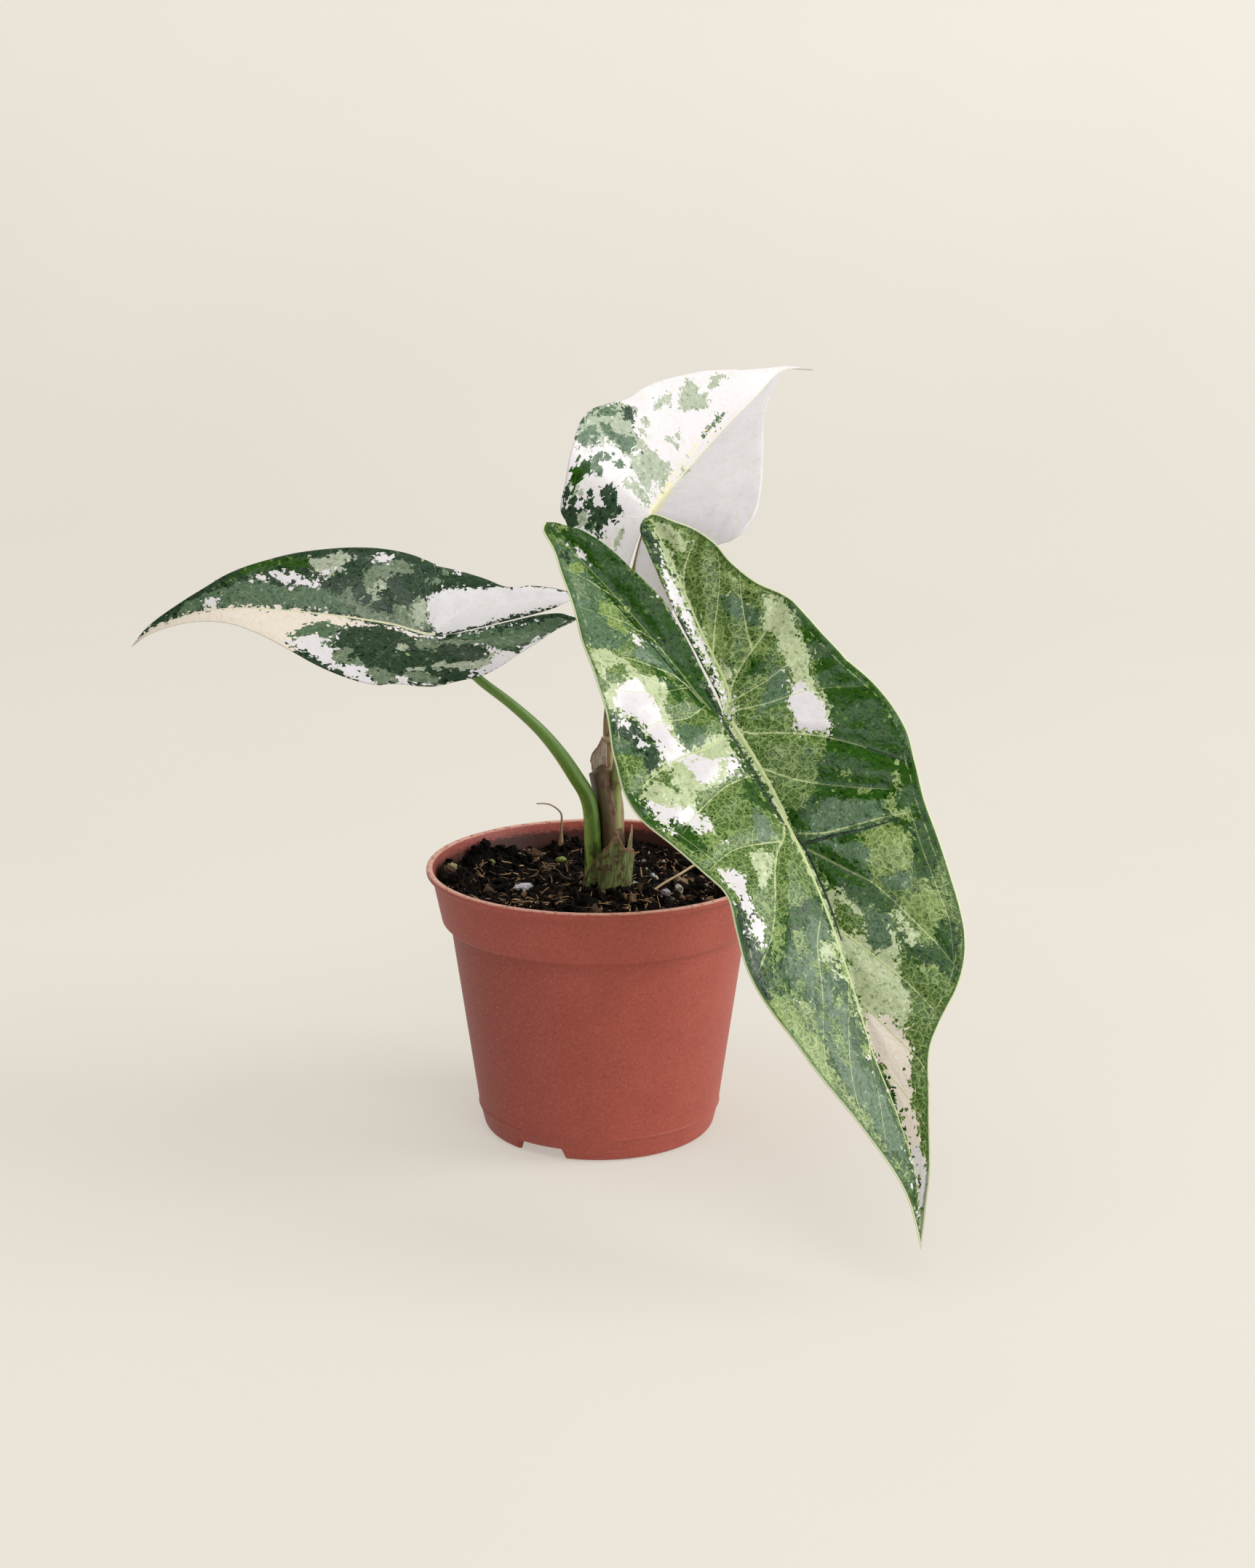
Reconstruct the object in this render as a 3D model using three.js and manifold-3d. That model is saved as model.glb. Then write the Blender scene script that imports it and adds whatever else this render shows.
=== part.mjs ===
// A variegated alocasia in a moulded nursery pot: three arrow-shaped leaves on one short stem.
// Millimetres, +Z up. The origin is on the floor under the middle of the pot, and the front looks along +Y.
//
// A blade is drawn flat first: u runs along the midrib from the petiole (0) to the tip, and is
// negative in the two back lobes; v runs across, positive on the leaf's right. The flat blade is then
// bent along its spine, so the lengths on the leaf stay true.

import * as THREE from 'three';
import Module from 'manifold-3d';
import { mergeVertices } from 'three/addons/utils/BufferGeometryUtils.js';

const wasm = await Module();
wasm.setup();

// Driving dimensions

const CLEARANCE = 0.3;

const POT = {
  rimRadius: 60,
  height: 95,
  wall: 1.2,
  stepHeight: 75,
  bodyRadiusAtStep: 51.9,
  bandRadiusAtStep: 54.8,
  bandCorner: 1,
  bandTop: 91.6,
  bandRadiusAtTop: 58,
  lineHeight: 8.5,
  lineRadius: 42.9,
  footRadius: 41,
  footInnerRadius: 38.1,
  footCornerRadius: 2.5,
  baseHeight: 4.3,
  hubRadius: 13,
  segments: 48,
};
const DRAIN = {
  notchHeight: 4,
  notchHalfWidth: 10,
  notchSlope: 1.5,
  notchDegrees: [-30, 150],
  holeDegrees: [-30, 30, 90, 150, 210, 270],
  holeRadius: 3.5,
  holeCircleRadius: 26,
};
const SOIL = { level: 86, lump: 1.3, mound: 1.2, rings: 8, segments: 36 };

// Blades: thickness, the midrib's ridge under the blade, and the mesh's rows and columns
const BLADE = { thickness: 0.8, ridge: 1.3, lobeRows: 13, bladeRows: 22 };
const BLADE_COLUMNS = [0, 0.05, 0.22, 0.45, 0.7, 0.9, 1];

const FRONT_LEAF = {
  spine: [
    [-81, 3.3, -27, 222.8], [-42, 22.5, -43, 192.7], [0, 41.4, -64, 162.2], [30, 54.9, -80, 141.1],
    [61.5, 68.7, -98, 118.9], [94, 78.6, -116, 93.7], [119.5, 85, -129, 73.1], [139.5, 91.6, -139, 57],
    [159, 97, -147, 39.5], [181.5, 98.6, -152, 17.9],
  ],
  across: [0.97, 0.25, 0],
  bendRight: [[-81, 4, -3], [0, 16, -4], [60, 20, -5], [120, 22, -5], [181.5, 25, 0]],
  bendLeft: [[-81, 4, -3], [0, 16, -4], [60, 20, -5], [120, 22, -5], [181.5, 25, 0]],
  costaFold: 0.3,
  right: {
    shoulder: 11,
    margin: [
      [-74.4, 12], [-74, 15], [-68, 19.6], [-62.5, 23.4], [-55, 26], [-47, 26.8], [-36.8, 30], [-28, 35.2],
      [-18.7, 38.3], [-9, 41.3], [1, 45], [11, 48.5], [22, 50], [32, 49.5], [43, 46], [53, 42.5], [62, 41],
      [73, 39.8], [84, 39], [95, 36.9], [106, 31], [116, 22.8], [126, 16], [138, 11], [151, 6.5], [165, 2.8],
      [174, 1.3], [181.5, 0],
    ],
    costa: [
      [-74.4, 12], [-68, 12.2], [-60, 12], [-51, 10.5], [-41, 9], [-31, 7.7], [-22, 7], [-12, 6], [-6, 4.4],
      [0, 0],
    ],
    sinus: [
      [-74.4, 12], [-73, 9.2], [-70.5, 7.5], [-66, 6.1], [-54, 4], [-42, 2.6], [-30, 2.3], [-18, 1.9],
      [-7, 1.3], [0, 0],
    ],
  },
  left: {
    shoulder: 9,
    margin: [
      [-87.5, -19], [-84.5, -21.8], [-76, -22.8], [-66, -26], [-52, -30], [-38, -35.5], [-24, -39],
      [-11, -41], [3, -45], [16, -49], [27, -48.5], [39, -43.5], [51, -38.5], [62, -35], [76, -36],
      [89, -36.5], [103, -33], [118, -26], [136, -18], [152, -10.5], [165, -4.7], [174, -1.7], [181.5, 0],
    ],
    costa: [
      [-87.5, -19], [-80, -17], [-70, -15], [-62, -13], [-48, -10.5], [-38, -9], [-30, -7.5], [-21, -6],
      [-12, -5], [-5, -3.4], [0, 0],
    ],
    sinus: [
      [-87.5, -19], [-85.8, -16.2], [-83, -13.8], [-80, -10.6], [-75, -7.8], [-68, -5], [-58, -2.3],
      [-44, 0.8], [-30, 1.3], [-18, 0.9], [-7, 0.4], [0, 0],
    ],
  },
};

const LEFT_LEAF = {
  spine: [
    [-46, -8.2, -8, 189], [-23, -31.1, -12, 184.8], [0, -54.3, -14, 179.2], [15, -69.1, -15, 182.9],
    [35, -88.9, -16, 186.1], [60, -113.7, -16, 188.3], [72.6, -126.1, -16, 188.1], [85.4, -138.6, -16, 185.6],
    [98, -150.1, -16, 180.6], [106, -156.4, -16, 175.4],
  ],
  across: [0, -0.743, -0.669],
  bendRight: [[-46, 10, -4], [0, 14, -6], [60, 14, -6], [106, 10, -3]],
  bendLeft: [[-46, -25, -5], [-20, -8, -6], [0, 12, -6], [60, 14, -6], [106, 10, -3]],
  costaFold: 0.25,
  right: {
    shoulder: 9,
    margin: [
      [-46, 7.3], [-44, 8.3], [-38, 10.2], [-31, 14.8], [-24, 19.2], [-18, 23.2], [-11, 25.6], [-3, 24.9],
      [5, 26], [13, 29], [20, 29.6], [28, 28], [38, 24], [48, 18.5], [58, 12.5], [68, 8], [78, 5],
      [88, 3.2], [98, 1.7], [106, 0],
    ],
    costa: [[-46, 7.3], [-36, 8], [-25, 9], [-12, 7], [-5, 4], [0, 0]],
    sinus: [[-46, 7.3], [-43.3, 5.2], [-40, 3.4], [-33, 2.4], [-22, 2.6], [-9, 1.9], [0, 0]],
  },
  left: {
    shoulder: 9,
    margin: [
      [-48, -7], [-46.5, -10.2], [-41.8, -13.7], [-35, -15.9], [-29.5, -15.8], [-24.5, -17.6],
      [-19, -22.3], [-12.6, -25.6], [-4, -26.9], [4, -27.2], [12, -27.4], [19, -27.5], [27, -27],
      [38, -25], [50, -22], [61, -17.3], [70, -13], [78, -8.6], [87, -5], [97, -2.4], [106, 0],
    ],
    costa: [[-48, -7], [-36, -9], [-25, -9.5], [-12, -7], [-5, -4], [0, 0]],
    sinus: [[-48, -7], [-46, -3.5], [-42, 0], [-34, 1.3], [-22, 1.7], [-9, 1.1], [0, 0]],
  },
};

const BACK_LEAF = {
  spine: [
    [-36, 10, 14, 183.1], [-17, 12.6, 18.5, 200.1], [0, 18.8, 25, 214.6], [33, 32.7, 52, 227.2],
    [63.5, 46.5, 77, 238.4], [87, 57.8, 96, 246.8], [107, 68, 111, 254.7], [123, 80.9, 121, 254.2],
  ],
  across: [-0.9, 0.22, 0.38],
  bendRight: [[-36, 14, -5], [0, 32, -5], [63, 34, -5], [123, 20, -3]],
  bendLeft: [[-36, 14, -5], [0, 32, -5], [63, 34, -5], [123, 20, -3]],
  costaFold: 0.15,
  right: {
    shoulder: 9,
    margin: [
      [-44, 13], [-42.5, 15.8], [-36, 18.5], [-28, 20.5], [-20, 22.5], [-14.4, 26], [-11.5, 30],
      [-6, 32.6], [-1, 36.4], [4.2, 39], [11, 39.4], [18, 36.8], [28, 33.4], [39, 31.8], [52, 28],
      [63, 24], [74, 19.5], [85, 14], [95, 8], [103, 3.2], [110, 1.4], [123, 0],
    ],
    costa: [[-44, 13], [-36, 13], [-24, 10], [-12, 6], [-5, 3.2], [0, 0]],
    sinus: [[-44, 13], [-40, 8], [-33, 3.5], [-21, 1.2], [-9, 0.8], [0, 0]],
  },
  left: {
    shoulder: 8,
    margin: [
      [-40, -12], [-38.5, -15], [-31, -18], [-22, -20.5], [-13, -24.5], [-7, -29.5], [-4.4, -34.5],
      [-1, -37.7], [5, -38.2], [14, -35.8], [28, -30.6], [43, -24.5], [59, -17], [70, -12], [81, -7.6],
      [92, -4.2], [101, -2.3], [110, -1.2], [123, 0],
    ],
    costa: [[-40, -12], [-32, -12], [-22, -9.5], [-12, -6], [-5, -3.2], [0, 0]],
    sinus: [[-40, -12], [-37, -7.5], [-31, -3.5], [-21, -1.2], [-9, -0.8], [0, 0]],
  },
};

// Petioles and stem: the points of the centreline, and the radius along it
const LEFT_PETIOLE = {
  path: [
    [-1.2, -0.8, 79], [-1.5, -2, 88], [-1.8, -2.5, 103], [-2.4, -3.5, 114], [-4.1, -4.5, 121],
    [-7.5, -6, 127.3], [-13.1, -8, 136.5], [-20.2, -9.5, 145.5], [-29.5, -11, 154.5], [-39.5, -12, 162.7],
    [-47.8, -12.7, 171], [-54.3, -12.5, 177.5],
  ],
  radius: [3.1, 3.1, 3, 2.8, 2.6, 2.5, 2.2, 1.9, 1.7, 1.6, 1.5, 1.5],
};
const BACK_PETIOLE = {
  path: [
    [4, 2.2, 110], [3.9, 2.8, 122], [3.8, 4.8, 136], [4.2, 9, 150], [7.2, 17, 168.5], [11.4, 24.2, 187],
    [15.2, 28, 202], [18.3, 26.2, 212.7],
  ],
  radius: [2.1, 2.1, 2.1, 1.7, 1.7, 1.6, 1.5, 1.5],
};
const FRONT_PETIOLE = {
  path: [
    [6.2, -2, 108], [6, -2.4, 122], [8.6, -6.2, 139], [14.4, -15, 152.5], [22, -28.5, 161.5],
    [31.5, -45.5, 165], [41, -62.4, 160.8],
  ],
  radius: [2.1, 2.1, 2, 1.9, 1.8, 1.7, 1.7],
};
const STEM = {
  path: [[5.4, 0, 79], [5.4, 0, 88], [4.8, 0, 103], [3.9, 0.2, 116], [1.4, 0.8, 128]],
  radius: [4.3, 4.3, 4.3, 4.8, 4.6],
};

// Sheaths: a shell round a centre, its top edge and radius by the angle from the front toward +X
const OLD_SHEATH = {
  centre: [3.6, -0.6], foot: 80, thickness: 0.9, columns: 20, rows: 4,
  edge: [
    [-104, 86, 8.8], [-84, 88.6, 8.9], [-61, 93.3, 8.1], [-37, 98.2, 7.4], [-8, 103, 6.9], [21, 106.8, 6.9],
    [45, 102.5, 7.6], [78, 100.4, 8.6], [110, 93, 8.2], [142, 85, 6.8],
  ],
};
const SIDE_SHEATH = {
  centre: [5.4, 0], foot: 80, thickness: 0.8, columns: 12, rows: 5,
  edge: [
    [36, 94, 5.2], [50, 101, 5.6], [68, 107, 6], [81, 109.5, 6.1], [95, 105, 6.2], [110, 97, 6], [130, 88, 5.6],
  ],
};
const DRY_SHEATH = {
  centre: [3.9, 3.2], foot: 123.5, thickness: 0.6, columns: 9, rows: 5,
  edge: [[-100, 128, 5.9], [-90, 131.5, 6.2], [-80, 134.5, 5], [-66, 137.5, 3.8], [-45, 140, 3.1], [-20, 138.5, 3]],
};

const TENDRIL = {
  path: [
    [-14.4, 48, 85], [-14.2, 48, 93.4], [-14, 48, 99.1], [-15.1, 48, 101.3], [-17.5, 48, 103.1],
    [-20.1, 48, 103.8], [-23.1, 48, 103.8],
  ],
  radius: [1.6, 1.1, 0.5, 0.4, 0.35, 0.3, 0.3],
};
const STRAW = {
  path: [
    [17, -10, 85.6], [20, -6.2, 87.6], [23.9, -1.3, 88.8], [28.6, 5, 89.6], [33.9, 16.2, 89.6],
    [36.4, 22.4, 88.4],
  ],
  radius: [0.4, 0.45, 0.45, 0.45, 0.4, 0.35],
};

// Pumice and fertiliser grains on the soil: place, and half the length, width and height
const GRAINS = [
  { at: [-26.3, -3.6, 87.4], half: [3.5, 1.7, 1.4], turn: 0.35, tone: 0xe6e2ea },
  { at: [-51.4, 4, 92.4], half: [1.8, 1.7, 1.6], turn: 0, tone: 0xb3a97c },
  { at: [-38.6, 23.9, 88.4], half: [1.4, 1.3, 1.1], turn: 0.4, tone: 0x7d8f45 },
  { at: [-27, 37, 87.4], half: [1.2, 1.1, 1], turn: 0.2, tone: 0xb6bd7e },
  { at: [-13.9, 31, 87.4], half: [1.9, 1.2, 1.1], turn: 0.1, tone: 0x9fb04e },
  { at: [23.2, -10.3, 87.4], half: [1.7, 1.6, 1.4], turn: 0.5, tone: 0xb9b1ba },
  { at: [19, 11.4, 87.2], half: [0.9, 0.8, 0.8], turn: 0, tone: 0xe9e6e4 },
];

// Small helpers

const vec = (a) => new THREE.Vector3(...a);
const flat = (a) => new THREE.Vector2(...a);

/** A smooth curve through rows [key, a, b, ...]; returns [a, b, ...] at a key. */
function along(rows, key) {
  const last = rows.length - 1;
  const k = THREE.MathUtils.clamp(key, rows[0][0], rows[last][0]);
  let i = 0;
  while (i < last - 1 && rows[i + 1][0] <= k) i += 1;
  const slope = (j, c) => {
    const a = rows[Math.max(j - 1, 0)];
    const b = rows[Math.min(j + 1, last)];
    return (b[c] - a[c]) / (b[0] - a[0]);
  };
  const h = rows[i + 1][0] - rows[i][0];
  const s = (k - rows[i][0]) / h;
  const start = 2 * s ** 3 - 3 * s ** 2 + 1;
  const values = [];
  for (let c = 1; c < rows[0].length; c += 1) {
    values.push(start * rows[i][c] + (1 - start) * rows[i + 1][c]
      + (s ** 3 - 2 * s ** 2 + s) * h * slope(i, c) + (s ** 3 - s ** 2) * h * slope(i + 1, c));
  }
  return values;
}

/** Indexed triangles into one geometry with shared vertices. */
function indexed(points, faces) {
  const geometry = new THREE.BufferGeometry();
  geometry.setAttribute('position', new THREE.Float32BufferAttribute(points.flat(), 3));
  geometry.setIndex(faces.flat());
  return geometry;
}

function toSolid(geometry) {
  const bare = geometry.clone();
  bare.deleteAttribute('normal');
  bare.deleteAttribute('uv');
  const merged = mergeVertices(bare, 1e-4);
  return new wasm.Manifold(new wasm.Mesh({
    numProp: 3,
    vertProperties: new Float32Array(merged.attributes.position.array),
    triVerts: new Uint32Array(merged.index.array),
  }));
}

function toGeometry(solid) {
  const mesh = solid.getMesh();
  const geometry = new THREE.BufferGeometry();
  geometry.setAttribute('position', new THREE.BufferAttribute(new Float32Array(mesh.vertProperties), 3));
  geometry.setIndex(new THREE.BufferAttribute(new Uint32Array(mesh.triVerts), 1));
  return geometry;
}

/** The largest body of a solid that a cut may have left with loose slivers. */
function mainBody(solid) {
  return solid.decompose().sort((a, b) => b.volume() - a.volume())[0];
}

/** A thin shell on both sides of a sheet of shared-vertex faces, closed by a rim. */
function thicken(points, faces, above, below) {
  const sheet = indexed(points, faces);
  sheet.computeVertexNormals();
  const normal = sheet.attributes.normal;
  const count = points.length;
  const upper = [];
  const lower = [];
  points.forEach((p, i) => {
    const n = [normal.getX(i), normal.getY(i), normal.getZ(i)];
    upper.push(p.map((x, c) => x + n[c] * above));
    lower.push(p.map((x, c) => x - n[c] * below(i)));
  });
  const edges = new Set(faces.flatMap(([a, b, c]) => [`${a},${b}`, `${b},${c}`, `${c},${a}`]));
  const rim = [];
  for (const edge of edges) {
    const [a, b] = edge.split(',').map(Number);
    if (!edges.has(`${b},${a}`)) rim.push([b, a, a + count], [b, a + count, b + count]);
  }
  const under = faces.map(([a, b, c]) => [a + count, c + count, b + count]);
  return indexed([...upper, ...lower], [...faces, ...under, ...rim]);
}

/** A tapering round stalk along a smooth centreline. */
function stalk({ path, radius }, sides, rows, extra = 0) {
  const curve = new THREE.CatmullRomCurve3(path.map(vec), false, 'centripetal');
  const { normals, binormals } = curve.computeFrenetFrames(rows, false);
  const rods = radius.map((r, i) => [i / (radius.length - 1), r]);
  const points = [];
  const faces = [];
  for (let i = 0; i <= rows; i += 1) {
    const t = curve.getUtoTmapping(i / rows);
    const r = along(rods, t)[0] + extra;
    const centre = curve.getPoint(t);
    for (let j = 0; j < sides; j += 1) {
      const a = (2 * Math.PI * j) / sides;
      const p = centre.clone().addScaledVector(normals[i], r * Math.cos(a));
      points.push(p.addScaledVector(binormals[i], r * Math.sin(a)).toArray());
    }
  }
  const at = (i, j) => i * sides + (j % sides);
  for (let i = 0; i < rows; i += 1) {
    for (let j = 0; j < sides; j += 1) {
      faces.push([at(i, j), at(i, j + 1), at(i + 1, j + 1)], [at(i, j), at(i + 1, j + 1), at(i + 1, j)]);
    }
  }
  for (let j = 1; j < sides - 1; j += 1) {
    faces.push([at(0, 0), at(0, j + 1), at(0, j)], [at(rows, 0), at(rows, j), at(rows, j + 1)]);
  }
  return indexed(points, faces);
}

// Blades

/** The point of a leaf's middle surface at flat (u, v). */
function leafPoint(leaf, u, v) {
  const step = 0.5;
  const centre = vec(along(leaf.spine, u));
  const first = leaf.spine[0][0];
  const last = leaf.spine[leaf.spine.length - 1][0];
  const ahead = vec(along(leaf.spine, Math.min(Math.max(u, first) + step, last)));
  const behind = vec(along(leaf.spine, Math.max(Math.min(u, last) - step, first)));
  const t = ahead.sub(behind).normalize();
  centre.addScaledVector(t, u - THREE.MathUtils.clamp(u, first, last));
  const r = vec(leaf.across);
  r.addScaledVector(t, -r.dot(t)).normalize();
  const n = new THREE.Vector3().crossVectors(t, r);

  const side = v < 0 ? -1 : 1;
  const w = Math.abs(v);
  const [degrees, curl] = along(side > 0 ? leaf.bendRight : leaf.bendLeft, u);
  const start = THREE.MathUtils.degToRad(degrees);
  const k = Math.abs(curl) < 1e-3 ? 1e-6 : curl / 1000;
  const x = (Math.sin(start + k * w) - Math.sin(start)) / k;
  const z = (Math.cos(start) - Math.cos(start + k * w)) / k + costaFold(leaf, u, v);
  return centre.addScaledVector(r, side * x).addScaledVector(n, z).toArray();
}

/** How far a lobe's surface rises beside its costa, which lies in the lobe's channel. */
function costaFold(leaf, u, v) {
  if (u >= 0 || v === 0) return 0;
  const costa = (v > 0 ? leaf.right : leaf.left).costa;
  let i = 0;
  while (i < costa.length - 2 && costa[i + 1][0] < u) i += 1;
  const [a, b] = [costa[i], costa[i + 1]];
  const share = THREE.MathUtils.clamp((u - a[0]) / (b[0] - a[0]), 0, 1);
  const c = THREE.MathUtils.lerp(a[1], b[1], share);
  const soft = 3;
  const rise = leaf.costaFold * Math.min(1, -u / 25);
  return rise * (Math.hypot(v - c, soft) - Math.hypot(c, soft));
}

/** Flat rows of one half blade: the strip out to the margin and the one in to the sinus. */
function halfBlade(half, tip) {
  const margin = new THREE.SplineCurve(half.margin.map(flat));
  const costa = new THREE.SplineCurve(half.costa.map(flat));
  const sinus = new THREE.SplineCurve(half.sinus.map(flat));
  const turn = half.shoulder / (half.margin.length - 1);
  const outer = [];
  const inner = [];
  for (let i = 0; i <= BLADE.lobeRows; i += 1) {
    const s = i / BLADE.lobeRows;
    const a = costa.getPointAt(s);
    const b = margin.getPoint(s * turn);
    const c = sinus.getPointAt(s);
    outer.push(BLADE_COLUMNS.map((f) => a.clone().lerp(b, f)));
    inner.push([0, 0.5, 1].map((f) => a.clone().lerp(c, f)));
  }
  for (let i = 1; i <= BLADE.bladeRows; i += 1) {
    const s = i / BLADE.bladeRows;
    const a = new THREE.Vector2(tip * s, 0);
    const b = margin.getPoint(turn + (1 - turn) * s);
    outer.push(BLADE_COLUMNS.map((f) => a.clone().lerp(b, f)));
  }
  return { outer, inner };
}

/** A whole blade as a thin shell, with a ridge under its midrib and costae. */
function bladeGeometry(leaf, extra = 0) {
  const tip = leaf.spine[leaf.spine.length - 1][0];
  const lookup = new Map();
  const points = [];
  const ridges = [];
  const faces = [];
  const vertex = (p, onRib) => {
    const key = `${p.x.toFixed(3)},${p.y.toFixed(3)}`;
    if (!lookup.has(key)) {
      lookup.set(key, points.length);
      points.push(leafPoint(leaf, p.x, p.y));
      ridges.push(onRib ? BLADE.ridge * Math.min(1, 1.15 * Math.max(0, 1 - Math.abs(p.x) / tip)) : 0);
    }
    return lookup.get(key);
  };
  const addStrip = (rows, flip) => {
    for (let i = 0; i + 1 < rows.length; i += 1) {
      for (let j = 0; j + 1 < rows[i].length; j += 1) {
        const a = vertex(rows[i][j], j === 0);
        const b = vertex(rows[i][j + 1], false);
        const c = vertex(rows[i + 1][j + 1], false);
        const d = vertex(rows[i + 1][j], j === 0);
        for (const face of [[a, b, c], [a, c, d]]) {
          if (new Set(face).size === 3) faces.push(flip ? face.reverse() : face);
        }
      }
    }
  };
  for (const [half, flip] of [[leaf.right, true], [leaf.left, false]]) {
    const { outer, inner } = halfBlade(half, tip);
    addStrip(outer, flip);
    addStrip(inner, !flip);
  }
  const half = BLADE.thickness / 2 + extra;
  return thicken(points, faces, half, (i) => half + ridges[i]);
}

// Pot and soil

/** The pot's closed wall profile as [radius, height], from the hub under the pot round to its inside. */
function potProfile() {
  const { footCornerRadius: corner, footRadius, baseHeight, hubRadius } = POT;
  const cornerCentre = footRadius - corner;
  const rounded = [-60, -30, -5].map((deg) => {
    const a = THREE.MathUtils.degToRad(deg);
    return [cornerCentre + corner * Math.cos(a), corner + corner * Math.sin(a)];
  });
  return [
    [0, 0], [hubRadius, 0], [hubRadius + 1.4, baseHeight],
    [POT.footInnerRadius - 0.8, baseHeight], [POT.footInnerRadius, 0], [cornerCentre, 0],
    ...rounded,
    [POT.lineRadius - 0.5, POT.lineHeight - 0.4], [POT.lineRadius, POT.lineHeight],
    [POT.lineRadius - 0.25, POT.lineHeight + 0.5],
    [POT.bodyRadiusAtStep, POT.stepHeight],
    [POT.bandRadiusAtStep - POT.bandCorner, POT.stepHeight + 0.3],
    [POT.bandRadiusAtStep, POT.stepHeight + 0.3 + POT.bandCorner],
    [POT.bandRadiusAtTop, POT.bandTop], [POT.rimRadius - 0.5, POT.bandTop + 1],
    [POT.rimRadius, POT.bandTop + 1.6], [POT.rimRadius, POT.height - 0.5], [POT.rimRadius - 0.5, POT.height],
    [POT.rimRadius - 1.6, POT.height], [POT.rimRadius - 2.2, POT.height - 0.5],
    ...potInside(),
  ];
}

/** The inside of the pot's wall from the lip down to the axis. */
function potInside() {
  const { wall, baseHeight, hubRadius } = POT;
  return [
    [POT.bandRadiusAtTop - wall, POT.bandTop], [POT.bandRadiusAtStep - wall, POT.stepHeight + 1.6],
    [POT.bodyRadiusAtStep - wall, POT.stepHeight - 0.6], [POT.lineRadius - 0.3 - wall, POT.lineHeight + 1],
    [POT.footRadius - 2.4, baseHeight + wall], [hubRadius + 0.6, baseHeight + wall],
    [hubRadius - 0.8, 1.4], [0, 1.4],
  ];
}

/** A body of revolution about Z from a closed [radius, height] profile that starts and ends on the axis. */
function turned(profile, segments) {
  const lathe = new THREE.LatheGeometry(profile.map(flat), segments);
  lathe.rotateX(Math.PI / 2);
  return lathe;
}

/** A point on a circle round the pot's axis, by degrees from the front toward +X. */
const around = (deg, radius, z) => {
  const a = THREE.MathUtils.degToRad(deg);
  return new THREE.Vector3(radius * Math.sin(a), -radius * Math.cos(a), z);
};

function potGeometry() {
  let solid = toSolid(turned(potProfile(), POT.segments));
  const { notchHeight: high, notchHalfWidth: wide, notchSlope: slope } = DRAIN;
  const corners = [[-wide - 0.4, -1], [wide + 0.4, -1], [wide - slope, high], [-wide + slope, high]];
  const opening = new THREE.Shape(corners.map(flat));
  for (const deg of DRAIN.notchDegrees) {
    const notch = new THREE.ExtrudeGeometry(opening, { depth: 10, bevelEnabled: false });
    notch.rotateX(Math.PI / 2).rotateZ(THREE.MathUtils.degToRad(deg));
    notch.translate(...around(deg, POT.footInnerRadius - 3, 0).toArray());
    solid = solid.subtract(toSolid(notch));
  }
  for (const deg of DRAIN.holeDegrees) {
    const hole = new THREE.CylinderGeometry(DRAIN.holeRadius, DRAIN.holeRadius, 4, 12);
    const holeAt = around(deg, DRAIN.holeCircleRadius, POT.baseHeight + 0.6);
    hole.rotateX(Math.PI / 2).translate(...holeAt.toArray());
    solid = solid.subtract(toSolid(hole));
  }
  return toGeometry(solid);
}

/** Height of the soil's lumpy top: it rises to the stem, banks up on the left and is piled at the back wall. */
function soilHeight(x, y) {
  const lumps = Math.sin(0.23 * x + 1.1) * Math.cos(0.19 * y - 0.4) + 0.6 * Math.sin(0.41 * x - 0.31 * y);
  const mound = SOIL.mound * Math.exp(-((x - 3) ** 2 + y ** 2) / 180);
  const bank = 5.5 * Math.exp(-((x + 54) ** 2) / 80 - ((y - 8) ** 2) / 450);
  const leftPile = 7 * Math.exp(-((x + 42) ** 2 + (y - 33) ** 2) / 60);
  const backPile = 5 * Math.exp(-((x + 14) ** 2 + (y - 52) ** 2) / 30);
  return SOIL.level + SOIL.lump * lumps + mound + bank + leftPile + backPile;
}

function soilGeometry() {
  const inside = potInside().reverse();
  const below = inside.filter(([, z]) => z < SOIL.level - 4);
  const wall = below.map(([r, z]) => [r === 0 ? 0 : r - 2 * CLEARANCE, z + CLEARANCE]);
  const low = POT.stepHeight + 1.6;
  const flare = (POT.bandRadiusAtTop - POT.bandRadiusAtStep) / (POT.bandTop - low);
  const edge = POT.bandRadiusAtStep - POT.wall + flare * (SOIL.level - 2 - low) - 2 * CLEARANCE;
  const points = [[0, 0, wall[0][1]]];
  const faces = [];
  const count = SOIL.segments;
  const rings = [];
  const addRing = (radius, height) => {
    const ring = [];
    for (let j = 0; j < count; j += 1) {
      const a = (2 * Math.PI * j) / count;
      const [x, y] = [radius * Math.sin(a), -radius * Math.cos(a)];
      ring.push(points.length);
      points.push([x, y, typeof height === 'number' ? height : height(x, y)]);
    }
    rings.push(ring);
  };
  wall.slice(1).forEach(([r, z]) => addRing(r, z));
  for (let i = SOIL.rings; i >= 1; i -= 1) addRing((edge * i) / SOIL.rings, soilHeight);
  const top = points.length;
  points.push([0, 0, soilHeight(0, 0)]);
  for (let j = 0; j < count; j += 1) {
    const next = (j + 1) % count;
    faces.push([0, rings[0][next], rings[0][j]]);
    for (let i = 0; i + 1 < rings.length; i += 1) {
      const [a, b] = [rings[i], rings[i + 1]];
      faces.push([a[j], a[next], b[next]], [a[j], b[next], b[j]]);
    }
    const last = rings[rings.length - 1];
    faces.push([top, last[j], last[next]]);
  }
  return indexed(points, faces);
}

// Sheaths and grains

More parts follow.
